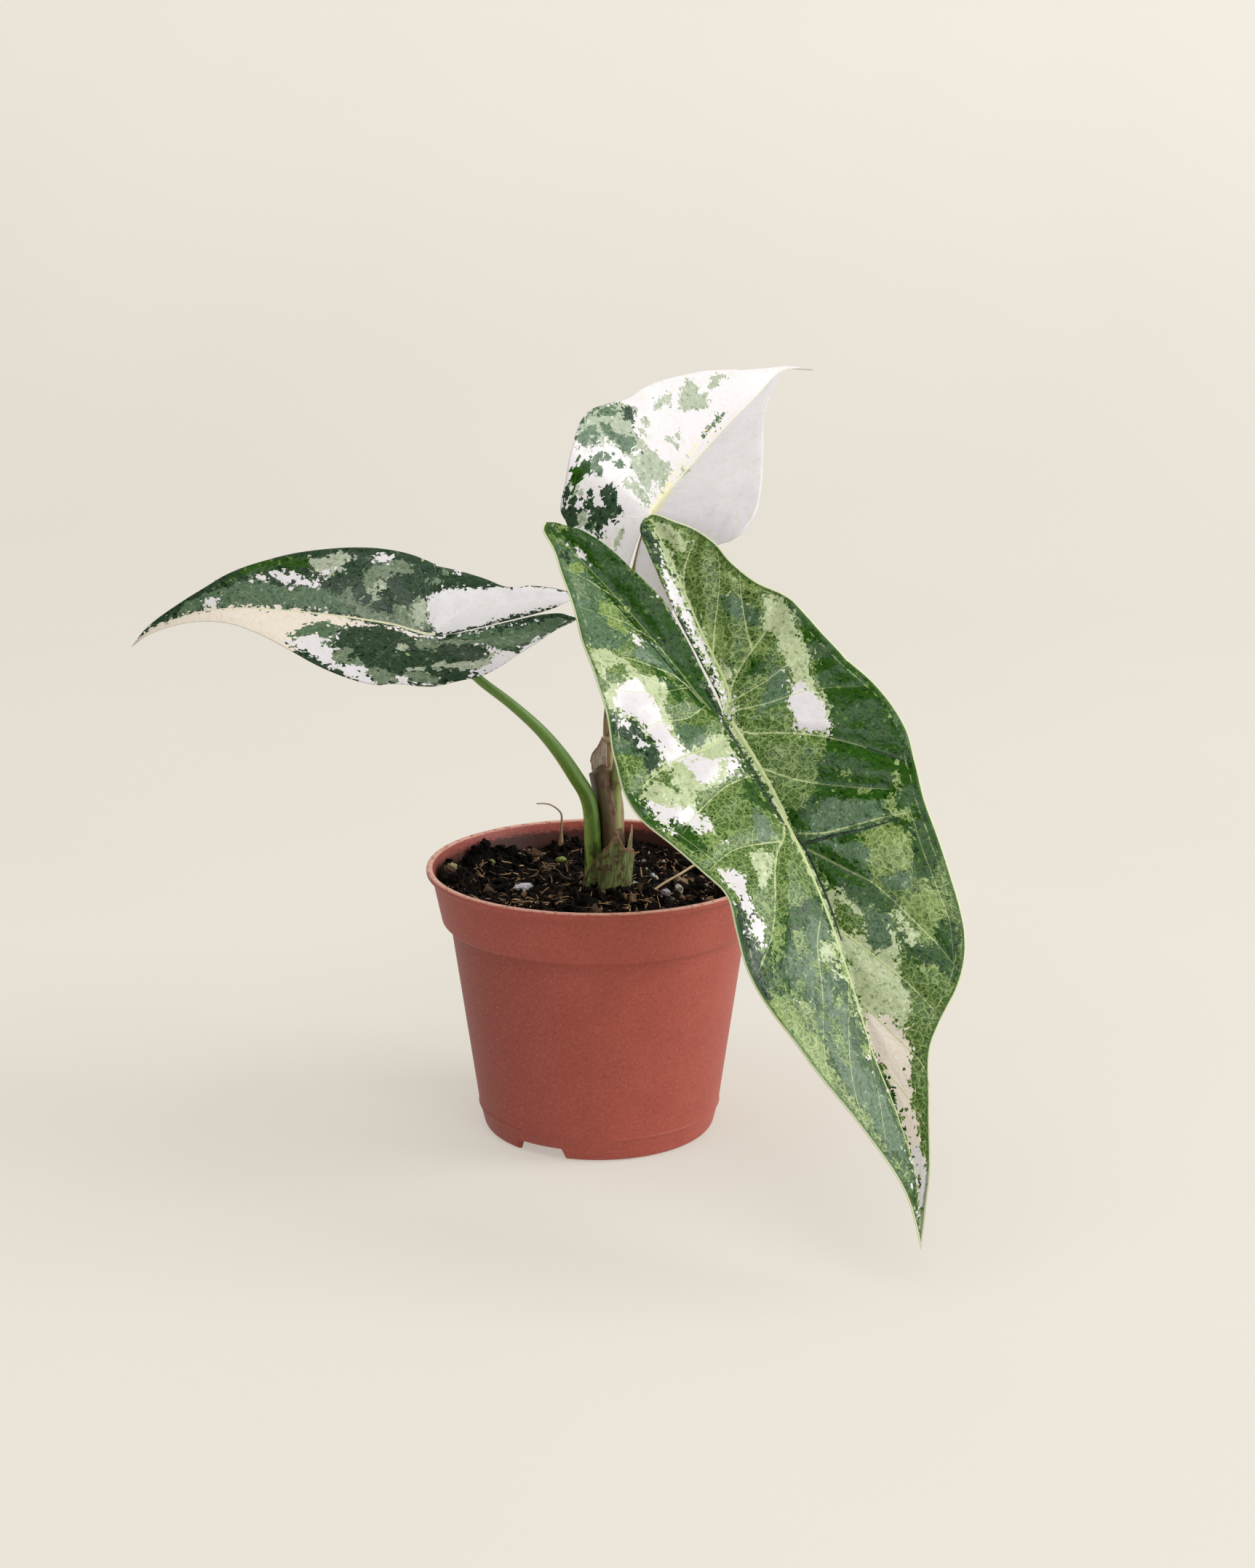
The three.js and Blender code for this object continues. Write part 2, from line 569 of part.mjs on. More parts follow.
/** A curved shell round a stalk, cut along its top edge. */
function sheathGeometry({ centre, foot, thickness, columns, rows, edge }) {
  const points = [];
  const faces = [];
  const first = edge[0][0];
  const last = edge[edge.length - 1][0];
  for (let i = 0; i <= columns; i += 1) {
    const deg = first + ((last - first) * i) / columns;
    const [top, radius] = along(edge, deg);
    for (let j = 0; j <= rows; j += 1) {
      const share = j / rows;
      const p = around(deg, radius * (0.86 + 0.14 * share), foot + (top - foot) * share);
      points.push([p.x + centre[0], p.y + centre[1], p.z]);
    }
  }
  const at = (i, j) => i * (rows + 1) + j;
  for (let i = 0; i < columns; i += 1) {
    for (let j = 0; j < rows; j += 1) {
      faces.push([at(i, j), at(i + 1, j), at(i + 1, j + 1)], [at(i, j), at(i + 1, j + 1), at(i, j + 1)]);
    }
  }
  return thicken(points, faces, thickness / 2, () => thickness / 2);
}

function grainGeometry({ at, half, turn }, extra = 0) {
  const grain = new THREE.IcosahedronGeometry(1, 1);
  grain.scale(half[0] + extra, half[1] + extra, half[2] + extra).rotateZ(turn);
  return grain.translate(...at);
}

// Assembly: each soft piece is trimmed to its clearance by what it holds

const grown = (spec, sides, rows) => toSolid(stalk(spec, sides, rows, CLEARANCE));
const bladeRoom = (leaf) => toSolid(bladeGeometry(leaf, CLEARANCE));

const petiole = {
  left: mainBody(toSolid(stalk(LEFT_PETIOLE, 12, 30)).subtract(bladeRoom(LEFT_LEAF))),
  back: mainBody(toSolid(stalk(BACK_PETIOLE, 10, 22)).subtract(bladeRoom(BACK_LEAF))),
  front: mainBody(toSolid(stalk(FRONT_PETIOLE, 10, 24)).subtract(bladeRoom(FRONT_LEAF))),
};
const leftRoom = grown(LEFT_PETIOLE, 12, 30);
const backRoom = grown(BACK_PETIOLE, 10, 22);
const frontRoom = grown(FRONT_PETIOLE, 10, 24);
const stem = mainBody(toSolid(stalk(STEM, 16, 10)).subtract(leftRoom).subtract(backRoom).subtract(frontRoom));
const stemRoom = grown(STEM, 16, 10);

const trimSheath = (spec, ...rooms) => {
  let solid = toSolid(sheathGeometry(spec));
  for (const room of rooms) solid = solid.subtract(room);
  return mainBody(solid);
};
/** The room a sheath takes: thicker, deeper, higher and wider round by its clearance. */
function sheathRoom(spec) {
  const edge = spec.edge.map(([deg, top, radius]) => [deg, top + 2 * CLEARANCE, radius]);
  const before = [edge[0][0] - 5, edge[0][1], edge[0][2]];
  const after = [edge[edge.length - 1][0] + 5, ...edge[edge.length - 1].slice(1)];
  const thickness = spec.thickness + 2 * CLEARANCE;
  return toSolid(sheathGeometry({ ...spec, foot: spec.foot - 1, thickness, edge: [before, ...edge, after] }));
}
const sideSheath = trimSheath(SIDE_SHEATH, stemRoom, leftRoom);
const oldSheath = trimSheath(OLD_SHEATH, stemRoom, leftRoom, sheathRoom(SIDE_SHEATH));
const drySheath = trimSheath(DRY_SHEATH, stemRoom, backRoom, leftRoom, frontRoom);

let soil = toSolid(soilGeometry());
for (const room of [
  stemRoom, leftRoom, sheathRoom(OLD_SHEATH), sheathRoom(SIDE_SHEATH),
  grown(TENDRIL, 7, 12), grown(STRAW, 6, 8),
  ...GRAINS.map((grain) => toSolid(grainGeometry(grain, CLEARANCE))),
]) soil = soil.subtract(room);
soil = mainBody(soil);

const plant = new THREE.Group();

function add(name, geometry, color, roughness) {
  const mesh = new THREE.Mesh(geometry, new THREE.MeshStandardMaterial({ color, roughness, metalness: 0 }));
  mesh.name = name;
  plant.add(mesh);
}

add('pot', potGeometry(), 0xa4483c, 0.55);
add('soil', toGeometry(soil), 0x2a1c14, 0.95);
add('stem', toGeometry(stem), 0x5f6a34, 0.5);
add('old_sheath', toGeometry(oldSheath), 0x5a7040, 0.6);
add('side_sheath', toGeometry(sideSheath), 0x6c7a45, 0.6);
add('dry_sheath', toGeometry(drySheath), 0xc4a99c, 0.8);
add('petiole_left', toGeometry(petiole.left), 0x4c6b22, 0.4);
add('petiole_back', toGeometry(petiole.back), 0x6b5a2c, 0.45);
add('petiole_front', toGeometry(petiole.front), 0x5b6b2c, 0.45);
add('blade_left', bladeGeometry(LEFT_LEAF), 0x3f6148, 0.4);
add('blade_back', bladeGeometry(BACK_LEAF), 0xe2dfe8, 0.45);
add('blade_front', bladeGeometry(FRONT_LEAF), 0x4f7a3a, 0.35);
add('tendril', stalk(TENDRIL, 7, 12), 0x4a4a2a, 0.8);
add('straw', stalk(STRAW, 6, 8), 0xb98a5a, 0.7);
GRAINS.forEach((grain, i) => add(`grain_${i + 1}`, grainGeometry(grain), grain.tone, 0.9));

export default plant;
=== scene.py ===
"""Dresses a potted variegated alocasia: marbled blades with their veins, stalks, sheaths, pot and soil.

Lengths in this file are millimetres until a mesh is made. A blade is drawn flat first: u runs along
the midrib from the petiole (0) to the tip and is negative in the two back lobes, v runs across,
positive on the leaf's right. The flat blade is then bent along its spine.
"""
import math

import bpy
import numpy as np
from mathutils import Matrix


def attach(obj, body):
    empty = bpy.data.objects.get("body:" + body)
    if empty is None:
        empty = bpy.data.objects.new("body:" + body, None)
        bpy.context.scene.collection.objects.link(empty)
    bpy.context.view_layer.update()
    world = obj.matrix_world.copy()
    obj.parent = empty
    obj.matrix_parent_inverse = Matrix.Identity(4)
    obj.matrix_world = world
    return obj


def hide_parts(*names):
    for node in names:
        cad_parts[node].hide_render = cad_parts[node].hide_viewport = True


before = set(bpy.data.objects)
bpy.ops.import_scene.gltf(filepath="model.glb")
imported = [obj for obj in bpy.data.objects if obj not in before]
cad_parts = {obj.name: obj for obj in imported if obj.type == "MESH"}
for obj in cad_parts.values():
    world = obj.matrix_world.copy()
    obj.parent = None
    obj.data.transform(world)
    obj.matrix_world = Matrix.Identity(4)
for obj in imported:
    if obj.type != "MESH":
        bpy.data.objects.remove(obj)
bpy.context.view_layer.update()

MM = 0.001
BODY = "root"
random = np.random.default_rng(20)

# Leaves: the flat outlines and bends of the CAD blades

FRONT_LEAF = {
    "spine": [
        [-81, 3.3, -27, 222.8], [-42, 22.5, -43, 192.7], [0, 41.4, -64, 162.2], [30, 54.9, -80, 141.1],
        [61.5, 68.7, -98, 118.9], [94, 78.6, -116, 93.7], [119.5, 85, -129, 73.1], [139.5, 91.6, -139, 57],
        [159, 97, -147, 39.5], [181.5, 98.6, -152, 17.9]],
    "across": [0.97, 0.25, 0],
    "bend": {
        1: [[-81, 4, -3], [0, 16, -4], [60, 20, -5], [120, 22, -5], [181.5, 25, 0]],
        -1: [[-81, 4, -3], [0, 16, -4], [60, 20, -5], [120, 22, -5], [181.5, 25, 0]]},
    "costa_fold": 0.3,
    "shoulder": {1: 11, -1: 9},
    "margin": {
        1: [[-74.4, 12], [-74, 15], [-68, 19.6], [-62.5, 23.4], [-55, 26], [-47, 26.8], [-36.8, 30],
            [-28, 35.2], [-18.7, 38.3], [-9, 41.3], [1, 45], [11, 48.5], [22, 50], [32, 49.5], [43, 46],
            [53, 42.5], [62, 41], [73, 39.8], [84, 39], [95, 36.9], [106, 31], [116, 22.8], [126, 16],
            [138, 11], [151, 6.5], [165, 2.8], [174, 1.3], [181.5, 0]],
        -1: [[-87.5, -19], [-84.5, -21.8], [-76, -22.8], [-66, -26], [-52, -30], [-38, -35.5], [-24, -39],
             [-11, -41], [3, -45], [16, -49], [27, -48.5], [39, -43.5], [51, -38.5], [62, -35], [76, -36],
             [89, -36.5], [103, -33], [118, -26], [136, -18], [152, -10.5], [165, -4.7], [174, -1.7],
             [181.5, 0]]},
    "costa": {
        1: [[-74.4, 12], [-68, 12.2], [-60, 12], [-51, 10.5], [-41, 9], [-31, 7.7], [-22, 7], [-12, 6],
            [-6, 4.4], [0, 0]],
        -1: [[-87.5, -19], [-80, -17], [-70, -15], [-62, -13], [-48, -10.5], [-38, -9], [-30, -7.5],
             [-21, -6], [-12, -5], [-5, -3.4], [0, 0]]},
    "sinus": {
        1: [[-74.4, 12], [-73, 9.2], [-70.5, 7.5], [-66, 6.1], [-54, 4], [-42, 2.6], [-30, 2.3],
            [-18, 1.9], [-7, 1.3], [0, 0]],
        -1: [[-87.5, -19], [-85.8, -16.2], [-83, -13.8], [-80, -10.6], [-75, -7.8], [-68, -5],
             [-58, -2.3], [-44, 0.8], [-30, 1.3], [-18, 0.9], [-7, 0.4], [0, 0]]},
}
LEFT_LEAF = {
    "spine": [
        [-46, -8.2, -8, 189], [-23, -31.1, -12, 184.8], [0, -54.3, -14, 179.2], [15, -69.1, -15, 182.9],
        [35, -88.9, -16, 186.1], [60, -113.7, -16, 188.3], [72.6, -126.1, -16, 188.1],
        [85.4, -138.6, -16, 185.6], [98, -150.1, -16, 180.6], [106, -156.4, -16, 175.4]],
    "across": [0, -0.743, -0.669],
    "bend": {
        1: [[-46, 10, -4], [0, 14, -6], [60, 14, -6], [106, 10, -3]],
        -1: [[-46, -25, -5], [-20, -8, -6], [0, 12, -6], [60, 14, -6], [106, 10, -3]]},
    "costa_fold": 0.25,
    "shoulder": {1: 9, -1: 9},
    "margin": {
        1: [[-46, 7.3], [-44, 8.3], [-38, 10.2], [-31, 14.8], [-24, 19.2], [-18, 23.2], [-11, 25.6],
            [-3, 24.9], [5, 26], [13, 29], [20, 29.6], [28, 28], [38, 24], [48, 18.5], [58, 12.5],
            [68, 8], [78, 5], [88, 3.2], [98, 1.7], [106, 0]],
        -1: [[-48, -7], [-46.5, -10.2], [-41.8, -13.7], [-35, -15.9], [-29.5, -15.8], [-24.5, -17.6],
             [-19, -22.3], [-12.6, -25.6], [-4, -26.9], [4, -27.2], [12, -27.4], [19, -27.5], [27, -27],
             [38, -25], [50, -22], [61, -17.3], [70, -13], [78, -8.6], [87, -5], [97, -2.4], [106, 0]]},
    "costa": {
        1: [[-46, 7.3], [-36, 8], [-25, 9], [-12, 7], [-5, 4], [0, 0]],
        -1: [[-48, -7], [-36, -9], [-25, -9.5], [-12, -7], [-5, -4], [0, 0]]},
    "sinus": {
        1: [[-46, 7.3], [-43.3, 5.2], [-40, 3.4], [-33, 2.4], [-22, 2.6], [-9, 1.9], [0, 0]],
        -1: [[-48, -7], [-46, -3.5], [-42, 0], [-34, 1.3], [-22, 1.7], [-9, 1.1], [0, 0]]},
}
BACK_LEAF = {
    "spine": [
        [-36, 10, 14, 183.1], [-17, 12.6, 18.5, 200.1], [0, 18.8, 25, 214.6], [33, 32.7, 52, 227.2],
        [63.5, 46.5, 77, 238.4], [87, 57.8, 96, 246.8], [107, 68, 111, 254.7], [123, 80.9, 121, 254.2]],
    "across": [-0.9, 0.22, 0.38],
    "bend": {
        1: [[-36, 14, -5], [0, 32, -5], [63, 34, -5], [123, 20, -3]],
        -1: [[-36, 14, -5], [0, 32, -5], [63, 34, -5], [123, 20, -3]]},
    "costa_fold": 0.15,
    "shoulder": {1: 9, -1: 8},
    "margin": {
        1: [[-44, 13], [-42.5, 15.8], [-36, 18.5], [-28, 20.5], [-20, 22.5], [-14.4, 26], [-11.5, 30],
            [-6, 32.6], [-1, 36.4], [4.2, 39], [11, 39.4], [18, 36.8], [28, 33.4], [39, 31.8], [52, 28],
            [63, 24], [74, 19.5], [85, 14], [95, 8], [103, 3.2], [110, 1.4], [123, 0]],
        -1: [[-40, -12], [-38.5, -15], [-31, -18], [-22, -20.5], [-13, -24.5], [-7, -29.5], [-4.4, -34.5],
             [-1, -37.7], [5, -38.2], [14, -35.8], [28, -30.6], [43, -24.5], [59, -17], [70, -12],
             [81, -7.6], [92, -4.2], [101, -2.3], [110, -1.2], [123, 0]]},
    "costa": {
        1: [[-44, 13], [-36, 13], [-24, 10], [-12, 6], [-5, 3.2], [0, 0]],
        -1: [[-40, -12], [-32, -12], [-22, -9.5], [-12, -6], [-5, -3.2], [0, 0]]},
    "sinus": {
        1: [[-44, 13], [-40, 8], [-33, 3.5], [-21, 1.2], [-9, 0.8], [0, 0]],
        -1: [[-40, -12], [-37, -7.5], [-31, -3.5], [-21, -1.2], [-9, -0.8], [0, 0]]},
}

# Marbling: each patch is a tone's letter and an outline in flat u,v; later patches lie over earlier ones,
# and a line that starts with a space goes on with the patch above.
# W white, B beige, C cream green, L light green, M middle green, G grey green, D deep green,
# K black green, S slate, mostly painted sheen where highlights lie and partly slate mottling, P pale grey
# green, Y pale yellow

# In the front leaf the white streak from u -38 to -31, v -18 to -10 is partly white marbling and partly a
# painted glare.
FRONT_PATCHES = """
M -94.2,-23.5 -89.1,-12.6 -76.8,-6.1 -61.3,-1.4 -45.1,0.4 -28.6,0.4 -11.3,0.4 1.5,0.4 43,0.4 64,-37.5
 40.2,-60.9 -0.1,-51.1 -55,-34.3
D -88.8,-20.2 -86.2,-15.5 -80.9,-10.4 -73.2,-6.1 -61.6,-3.3 -50.6,-1.4 -43.8,0.4 -33.7,0.4 -23.6,0.4
 -12.2,0.4 -0.9,0.2 0.8,-2.6 -4.5,-6.9 -12.5,-9.6 -18.6,-10.4 -25,-9.5 -34.5,-11.2 -42.6,-11.9 -50,-14.4
 -60.9,-15.5 -70,-15.4 -77.8,-16.2 -80.6,-18.7 -83.2,-21.4
S -79.6,-20.8 -76.9,-16.8 -67.7,-15.7 -58.2,-15.7 -48.4,-14.6 -42.2,-14 -37.4,-15.8 -33.2,-21.1
 -34.9,-28.9 -37,-36.4 -53.4,-30.1 -65.2,-26.8 -72.4,-25.3
L -70.6,-22.7 -70.7,-16.4 -67.3,-15.4 -66.1,-19.2 -67.8,-21.6
L -55.1,-19.6 -52.1,-15.2 -43.9,-15.6 -40.1,-15 -37.9,-19.6 -41.8,-21.8 -48.7,-20.8
L -52.4,-16 -49.4,-10.7 -47.1,-11.5 -48.6,-16.3
W -75.1,-16.1 -74.4,-14.1 -68.5,-13.2 -70.4,-14.9
L -85.1,-16.1 -82.7,-12.9 -81.5,-13.8 -82.7,-16.6
G -65.6,-21.3 -62,-20 -57.3,-22.4 -57.9,-25 -62,-24.4
K -76.6,-19.9 -74.6,-18.5 -71.9,-19.4 -73,-21.7
W -38.2,-16.5 -35,-10.9 -31.6,-10 -31.9,-14.4 -33.2,-17.8
S -35,-10.9 -30.6,-7.3 -21,-7.1 -13.5,-7.2 -18.4,-9 -23.5,-12 -26.3,-17.8 -30.7,-19.3
C -36.4,-34.5 -34.8,-29 -29.3,-23.5 -24.3,-23.2 -20.9,-22.2 -19.8,-14.2 -16.1,-11.6 -11.3,-17.4 -7.9,-20.8
 -3.4,-19 1.2,-21.6 7.2,-21.2 5.3,-5.4 6.3,-2.6 11.6,-4.4 16.2,-3.2 19.8,-7.9 23,-12.8 24.2,-19.3
 24.1,-24.9 27.5,-28.5 37,-28.6 32.1,-44.7 20.4,-45.4 16.9,-41.9 10.9,-33.1 7.8,-24.3 5.3,-28.5 -1,-30.4
 -6.3,-31.8 -8.9,-37.4 -13.1,-39.7 -17.1,-39.1 -19,-35.1 -23,-36.1 -26.9,-38.2
M -24.6,-35 -28.3,-27 -25.9,-25.2 -19.3,-29.8 -20.2,-34.4 -21.9,-35.8
M -14.1,-27.7 -12.7,-24.1 -8.2,-25.2 -8.3,-28.3 -11.1,-29.0
W -19.5,-30.8 -19.8,-24.6 -15.2,-22.8 -9.7,-22.9 -4.3,-22.8 1.2,-21.6 7.6,-21.1 11.5,-17.6 16.1,-22.1
 14.7,-26.9 11.1,-29 4.5,-30.8 -1,-30.4 -6.3,-31.8 -9.7,-35.6 -13,-37.7 -16.3,-35.0
W 17.8,-20.4 14.4,-10.9 14.2,-4.7 16.8,-3.6 21,-8.6 23.2,-17.6 21.6,-22.4
W 19.8,-44.3 24.5,-40.6 27.9,-35.6 34.3,-37.7 32.4,-43.6 25.1,-44.9
S -2,-18.6 1.2,-10.3 6.9,-12 8.4,-20.4 3.2,-21.0
D -25.9,-15 -22.6,-12.2 -17.5,-10.8 -10,-10.8 -7.5,-13.8 -10.9,-15.3 -16.4,-14.8 -21.1,-16.4
K -11.2,-40 -7.7,-36.7 -5.4,-32.3 0.2,-29.7 6,-30 12.5,-33.7 11.3,-37.4 5.9,-35.7 -0.6,-37.5 -4,-41.2
 -7.3,-41.2
W -8.4,-37.4 -6.5,-34.8 -4.1,-35.8 -5.3,-37.6
W -2.2,-34.2 -0.3,-32.2 2.7,-33.6 0.4,-35.0
S -4.3,-42 -0.6,-37.5 5.9,-35.7 2.6,-40.6 1.2,-43.6
D 12.5,-49.5 16.1,-48.1 17.1,-42 20.5,-45.1 25.5,-43.8 33.2,-41.3 28.6,-54.5
M 12.4,-33.2 13.8,-27.8 18.5,-28.1 21.9,-32.3 19.5,-35.1 15.7,-36.7
D 0.6,-1.3 11.6,-4.4 20.4,-5.2 26.7,-9.1 35.2,-8.6 36.2,-2.4 26.4,-2.4 15.1,-1.9 6.5,-1.5
L 23,-4.9 24.7,-3.6 27.4,-4.4 26.5,-6.2
L 25.5,-18.9 25.2,-14.4 29.2,-15.3 28.9,-19.4
C -70.1,11.4 -62.8,12.7 -52.9,11.7 -45.4,9.5 -36,8.2 -22.3,6.2 -7.8,5.1 -1.3,4.7 2.4,0.8 -6.4,1.5
 -23.1,3.6 -36.8,5.6 -47.4,7.6 -57.3,7.8 -65.6,8.3
M -51.8,6.2 -47.1,9.1 -40.2,7.8 -42.7,5.1 -50.6,4.4
W -50.1,2.8 -46.4,2.9 -36,4 -31.6,4.1 -31.1,1.7 -43,0.6
W -15.9,3.8 -5.1,2.4 0.1,0.7 -2.7,0.2 -12.4,1.7
K -73.3,9.4 -72.2,11.2 -68.5,10.7 -63.6,10.6 -57.2,8.8 -52.8,9 -51.5,6.6 -55.7,5.3 -64.8,6.6 -67.8,6.3
K -43.8,1 -36.2,4.1 -27.7,3.7 -19.2,3.1 -5.2,1.1 -5.7,0.1 -19.9,0.5 -27.2,0.3 -35.7,0.7
C -71.7,15 -65.2,18.3 -60.2,19.4 -57.8,16.7 -62.9,14.1 -68.6,11.6
L -56.3,20.8 -51.4,23.3 -50.4,21.2 -53.5,19.6
L -51.2,14.9 -48.5,16.5 -47.5,14.4 -49.5,12.6
L -47,21.5 -42.6,25.6 -38.9,27.3 -35.6,29.6 -34.5,27.4 -38.5,24.6 -43.2,21.9
L -33.6,10.3 -29.9,13.7 -22.8,12.9 -17.7,9 -14.5,6 -19.2,5.6 -27.4,7.9
C -17,8.1 -14.4,9.9 -10.8,7.2 -13,6.0
C -37.3,21.4 -35.4,23.1 -31.3,20.9 -32.7,19.3
L -56.3,15.8 -54.8,17 -52.5,14.9 -53.9,13.6
C -31.6,29.4 -29.2,33.4 -22.6,34 -14.5,34.1 -6.9,33.3 -1.5,30.8 9.2,31.6 20.4,28.1 16.1,18.6 11.4,18.5
 6.5,20.8 1.4,22.2 -2.5,25.7 -7.8,25.6 -17.2,26.2 -22.3,24.6 -26.3,27.8
W 0.2,22.8 -0.6,27.5 4.8,28.9 11.5,30.4 20.4,27.5 15,18.1 8.8,19.6
S -39.4,17.5 -38,21.8 -27.9,25.4 -22.6,24 -26.9,19.7 -33.4,16.6
S -9.3,21.1 -5.4,25.8 3.8,21.2 4.1,15.7 4.7,8.6
D -14.5,17 -10.3,21.9 -7.7,17.7 -8.9,13.0
L -18.6,19.3 -15.1,23.9 -13.9,22.1 -14.9,18.3
C 19.1,9.6 21,14.8 23.2,13.6 21.6,10.1
L 23.1,3 24.4,5.2 26,4.1 24.8,2.4
C 0.9,2.3 7.9,1.9 20.5,3.3 31.5,2.8 42.8,0.9 40.7,-0.6 25.9,0.2 14,-0.6 3.7,-0.6
L 99,-32 106,-31 118,-27 129,-21 122,-18 112,-17 104,-19 98,-24
D 97,-22 104,-19 112,-17 122,-18 133,-18 138,-15 126,-12 112,-13 103,-14 97,-15
D 95,-12 106,-13 118,-14 128,-17 140,-15 152,-10 166,-3 172,-0.8 150,-0.8 104,-0.8 90,-3
M 106,-17 112,-16 111,-12 105,-13
D 98,-8 104,-9 112,-8 116,-4 110,-2 100,-1.5
M 104,-5 110,-6 120,-6 121,-1.5 107,-1.2
C 64,-1.8 100,-1.5 112,-1 112,0 40,0 40,-1
D -32,33.5 -20,34.5 -10,35 4,32.5 14,30 20,27 26,20 30,14 36,6 38,1 56,1 56,38 48,46 30,52 10,51 -5,46
 -22,40
L 41,37.5 46,36.5 46,39.5 42,40.5
L 45,31 50,33 50,35 46,35
M 8,1.5 30,1.5 38,3 38,8 32,13 30,19 22,24 19,20 14,10
S 43,7 48,3 51,12 53,26 48,29 43,18
S 57,9 66,9 70,15 62,19 57,17
D 54,2 66,3 74,9 80,15 80,21 70,15 58,5
L 56,19.5 66,17.5 68,24 68,31 60,34 54,30
D 54,30 60,33.5 74,31 75,36 62,43 48,46 48,36
L 50,31 54,32 52,36 49,36
S 54,31 58,33 59,36 56,36
S 68,18 74,19 77,26 72,29 68,26
L 76,20 88,25 88,34 76,37 74,31 77,27
C 66,0.8 107,0.8 110,9 117,9 112,15 100,13.5 92,17 84,15.5 91,9 78,9 68,4
M 73,0.8 82.5,0.8 83.5,7 76,7.5
S 73.5,9 83,9 90,8 91.5,11 89,14.5 83,15 76,11.5
D 84,17 90,18 97,17 101,23 95,24 90,21 86,20
C 80,19.5 86,19.5 92,20.5 90,22.5 84,22
B 107,0.5 156,0.3 150,3.8 140,5.2 130,7 125,10 111,9
K 86,32 95,23.5 101,26 105,28 102,31.5 96,35 88,35
L 98,20 112,20 126,15.2 118,24 106,33 100,30
M 93,14.5 100,13 112,15 118,10 125,10 130,7 140,5 153,4 158,7 126,17 112,21 100,21 96,18
W 150,0.2 181,0 170,2.5 152,3.6
K 129.5,0 137,0 135,1.8 131,1.6
M 19.1,3.8 26.9,18.5 34.7,14.3 39.7,7.4 37.4,3.2 31.3,2.6 22.9,3.1
D 27.1,18.9 41.3,47.6 51,43 56.5,42.5 61.4,40.9 60.9,32.4 58.4,31.2 54.1,26.1 52.6,15.5 48.6,4.8 42.1,1.7
 36.7,2 39.6,7.2 34.6,14.1
S 44.6,6.8 41.2,12.8 41,18.2 44.9,23.7 49.1,29.3 53.5,28 51.3,17.4 50,7.9 48.5,4.9
L 33.5,23.4 36.1,25.6 37.9,24.1 36.3,22.1
L 41.8,37.2 42.1,40.7 48.3,36.3 52.6,31.1 50.3,29.3 46.8,35.7
L 50.1,29.5 54.4,36.4 56.4,35.1 53.7,29.9
L 42,25.5 43.5,29.8 45.2,29.4 43.7,25.1
L 54.1,20.7 54.3,27.2 58.2,31.5 63,29.4 67.5,29 68.1,23.7 68.2,20.6 69.3,17.1 66.3,15.7 60.4,18.8
S 50.1,5.7 53.5,11.1 56.1,13.5 55.8,17.5 59.1,18.5 63.4,17.5 66.3,15 62.6,11.5 56.3,8.4
D 47.7,2.3 56.6,9.5 66.3,15 71.8,17.3 79,21.9 80.5,18.8 77.4,12.8 72.8,9.8 69.1,6.4 64.3,3.5 57.1,1.8
D 60.7,32.3 61.8,40 66.4,40.1 70.8,36.5 74.3,33.3 72,29.2 67.8,29.9
M 71.8,17.3 69.5,23.1 72,29.2 74.3,33.3 67.2,39.8 73.9,40.8 88.3,38.6 97.9,36.3 109.1,26.5 93.6,26.2
 82.8,22.7 78.9,21.5
L 79,21.9 75.8,26.7 75.3,32.9 81.5,35.6 86.2,31 94.3,29.5 93.6,26.2 82.9,22.9
S 68.8,19.5 69.3,25.5 71.6,28.4 74.5,26 74.1,21.2 71.4,18.4
L 67.1,24.1 67.2,28.9 69.1,26.9 68.5,22.3
S 74.4,8.9 78.7,14.7 82.1,17.3 89.7,13.6 90.8,8.9 85.3,7.5 79.3,8.4
C 67,1.5 67.2,5.9 71.5,6.9 76,8.8 80.5,8.4 85.4,7.8 90.8,8.9 90.1,13.5 86.7,16.7 92.5,15.6 101.2,13.4
 106.4,15.4 110.9,14.1 114.9,10.8 111.9,9.1 109.6,5.1 106.9,-0.2 99.7,-0.4 91.2,-0.6 82.7,-0.6 73,0.1
M 71.1,2.4 73.4,6 78.3,9 84.3,8.3 82.5,2.8 78.1,0.7
C 80,19 84.8,22.1 89.8,21.8 86.5,19.1 82.5,18.5
M 96.6,13.8 102.1,16.6 99.5,24.3 104.8,27.3 110.4,31.3 118.7,22.2 127.6,17.2 123.7,10.2 115.7,10.3
 112.1,13.8 107.8,16.1 102.4,13.4
D 85.9,30.9 88.6,36.3 97.7,34.3 105.3,29.5 100,26.2 93.9,19.1 93.9,27.3
B 106.9,-0.2 109.6,5.1 112.1,9.8 117,9.6 122.7,10.8 128,8.8 138,4.8 136.5,0.4 128.3,0.1 116.3,-0.6
M 122.7,10.8 125.4,18 140.3,12 138,4.8
D 25,-8.9 16.6,-1.6 17.5,0.4 40.9,0 37.6,-2.5 34.1,-7.6 29.1,-10.8
L 21.8,-4 23,-2.3 24.9,-4 23.8,-5.5
L 29.5,-3.5 30.7,-2.1 32.4,-3.5 31.5,-4.8
M 23.9,-25.7 20.7,-14.7 25.1,-8.7 29.1,-10.8 34.1,-7.6 37.9,-2.4 40.9,0 56,-1.5 67.8,-0.5 76.3,-1.3
 74.3,-20.2 82.4,-26.8 84.5,-29.1 66.5,-28 52.8,-30 49.1,-32.6 43.3,-32.5 41,-35.3 42.7,-24.6 35.9,-23.6
 27.8,-27.3
S 33.2,-10.3 36.8,-6.6 43.6,-7.6 48.5,-12.4 42.1,-14.5
C 9.9,-27 15.1,-8.3 22.4,-13.9 24,-25.2 18.7,-32.0
W 11,-23.4 14.2,-11.9 19.5,-13.7 21.3,-19.3 21.2,-23.9
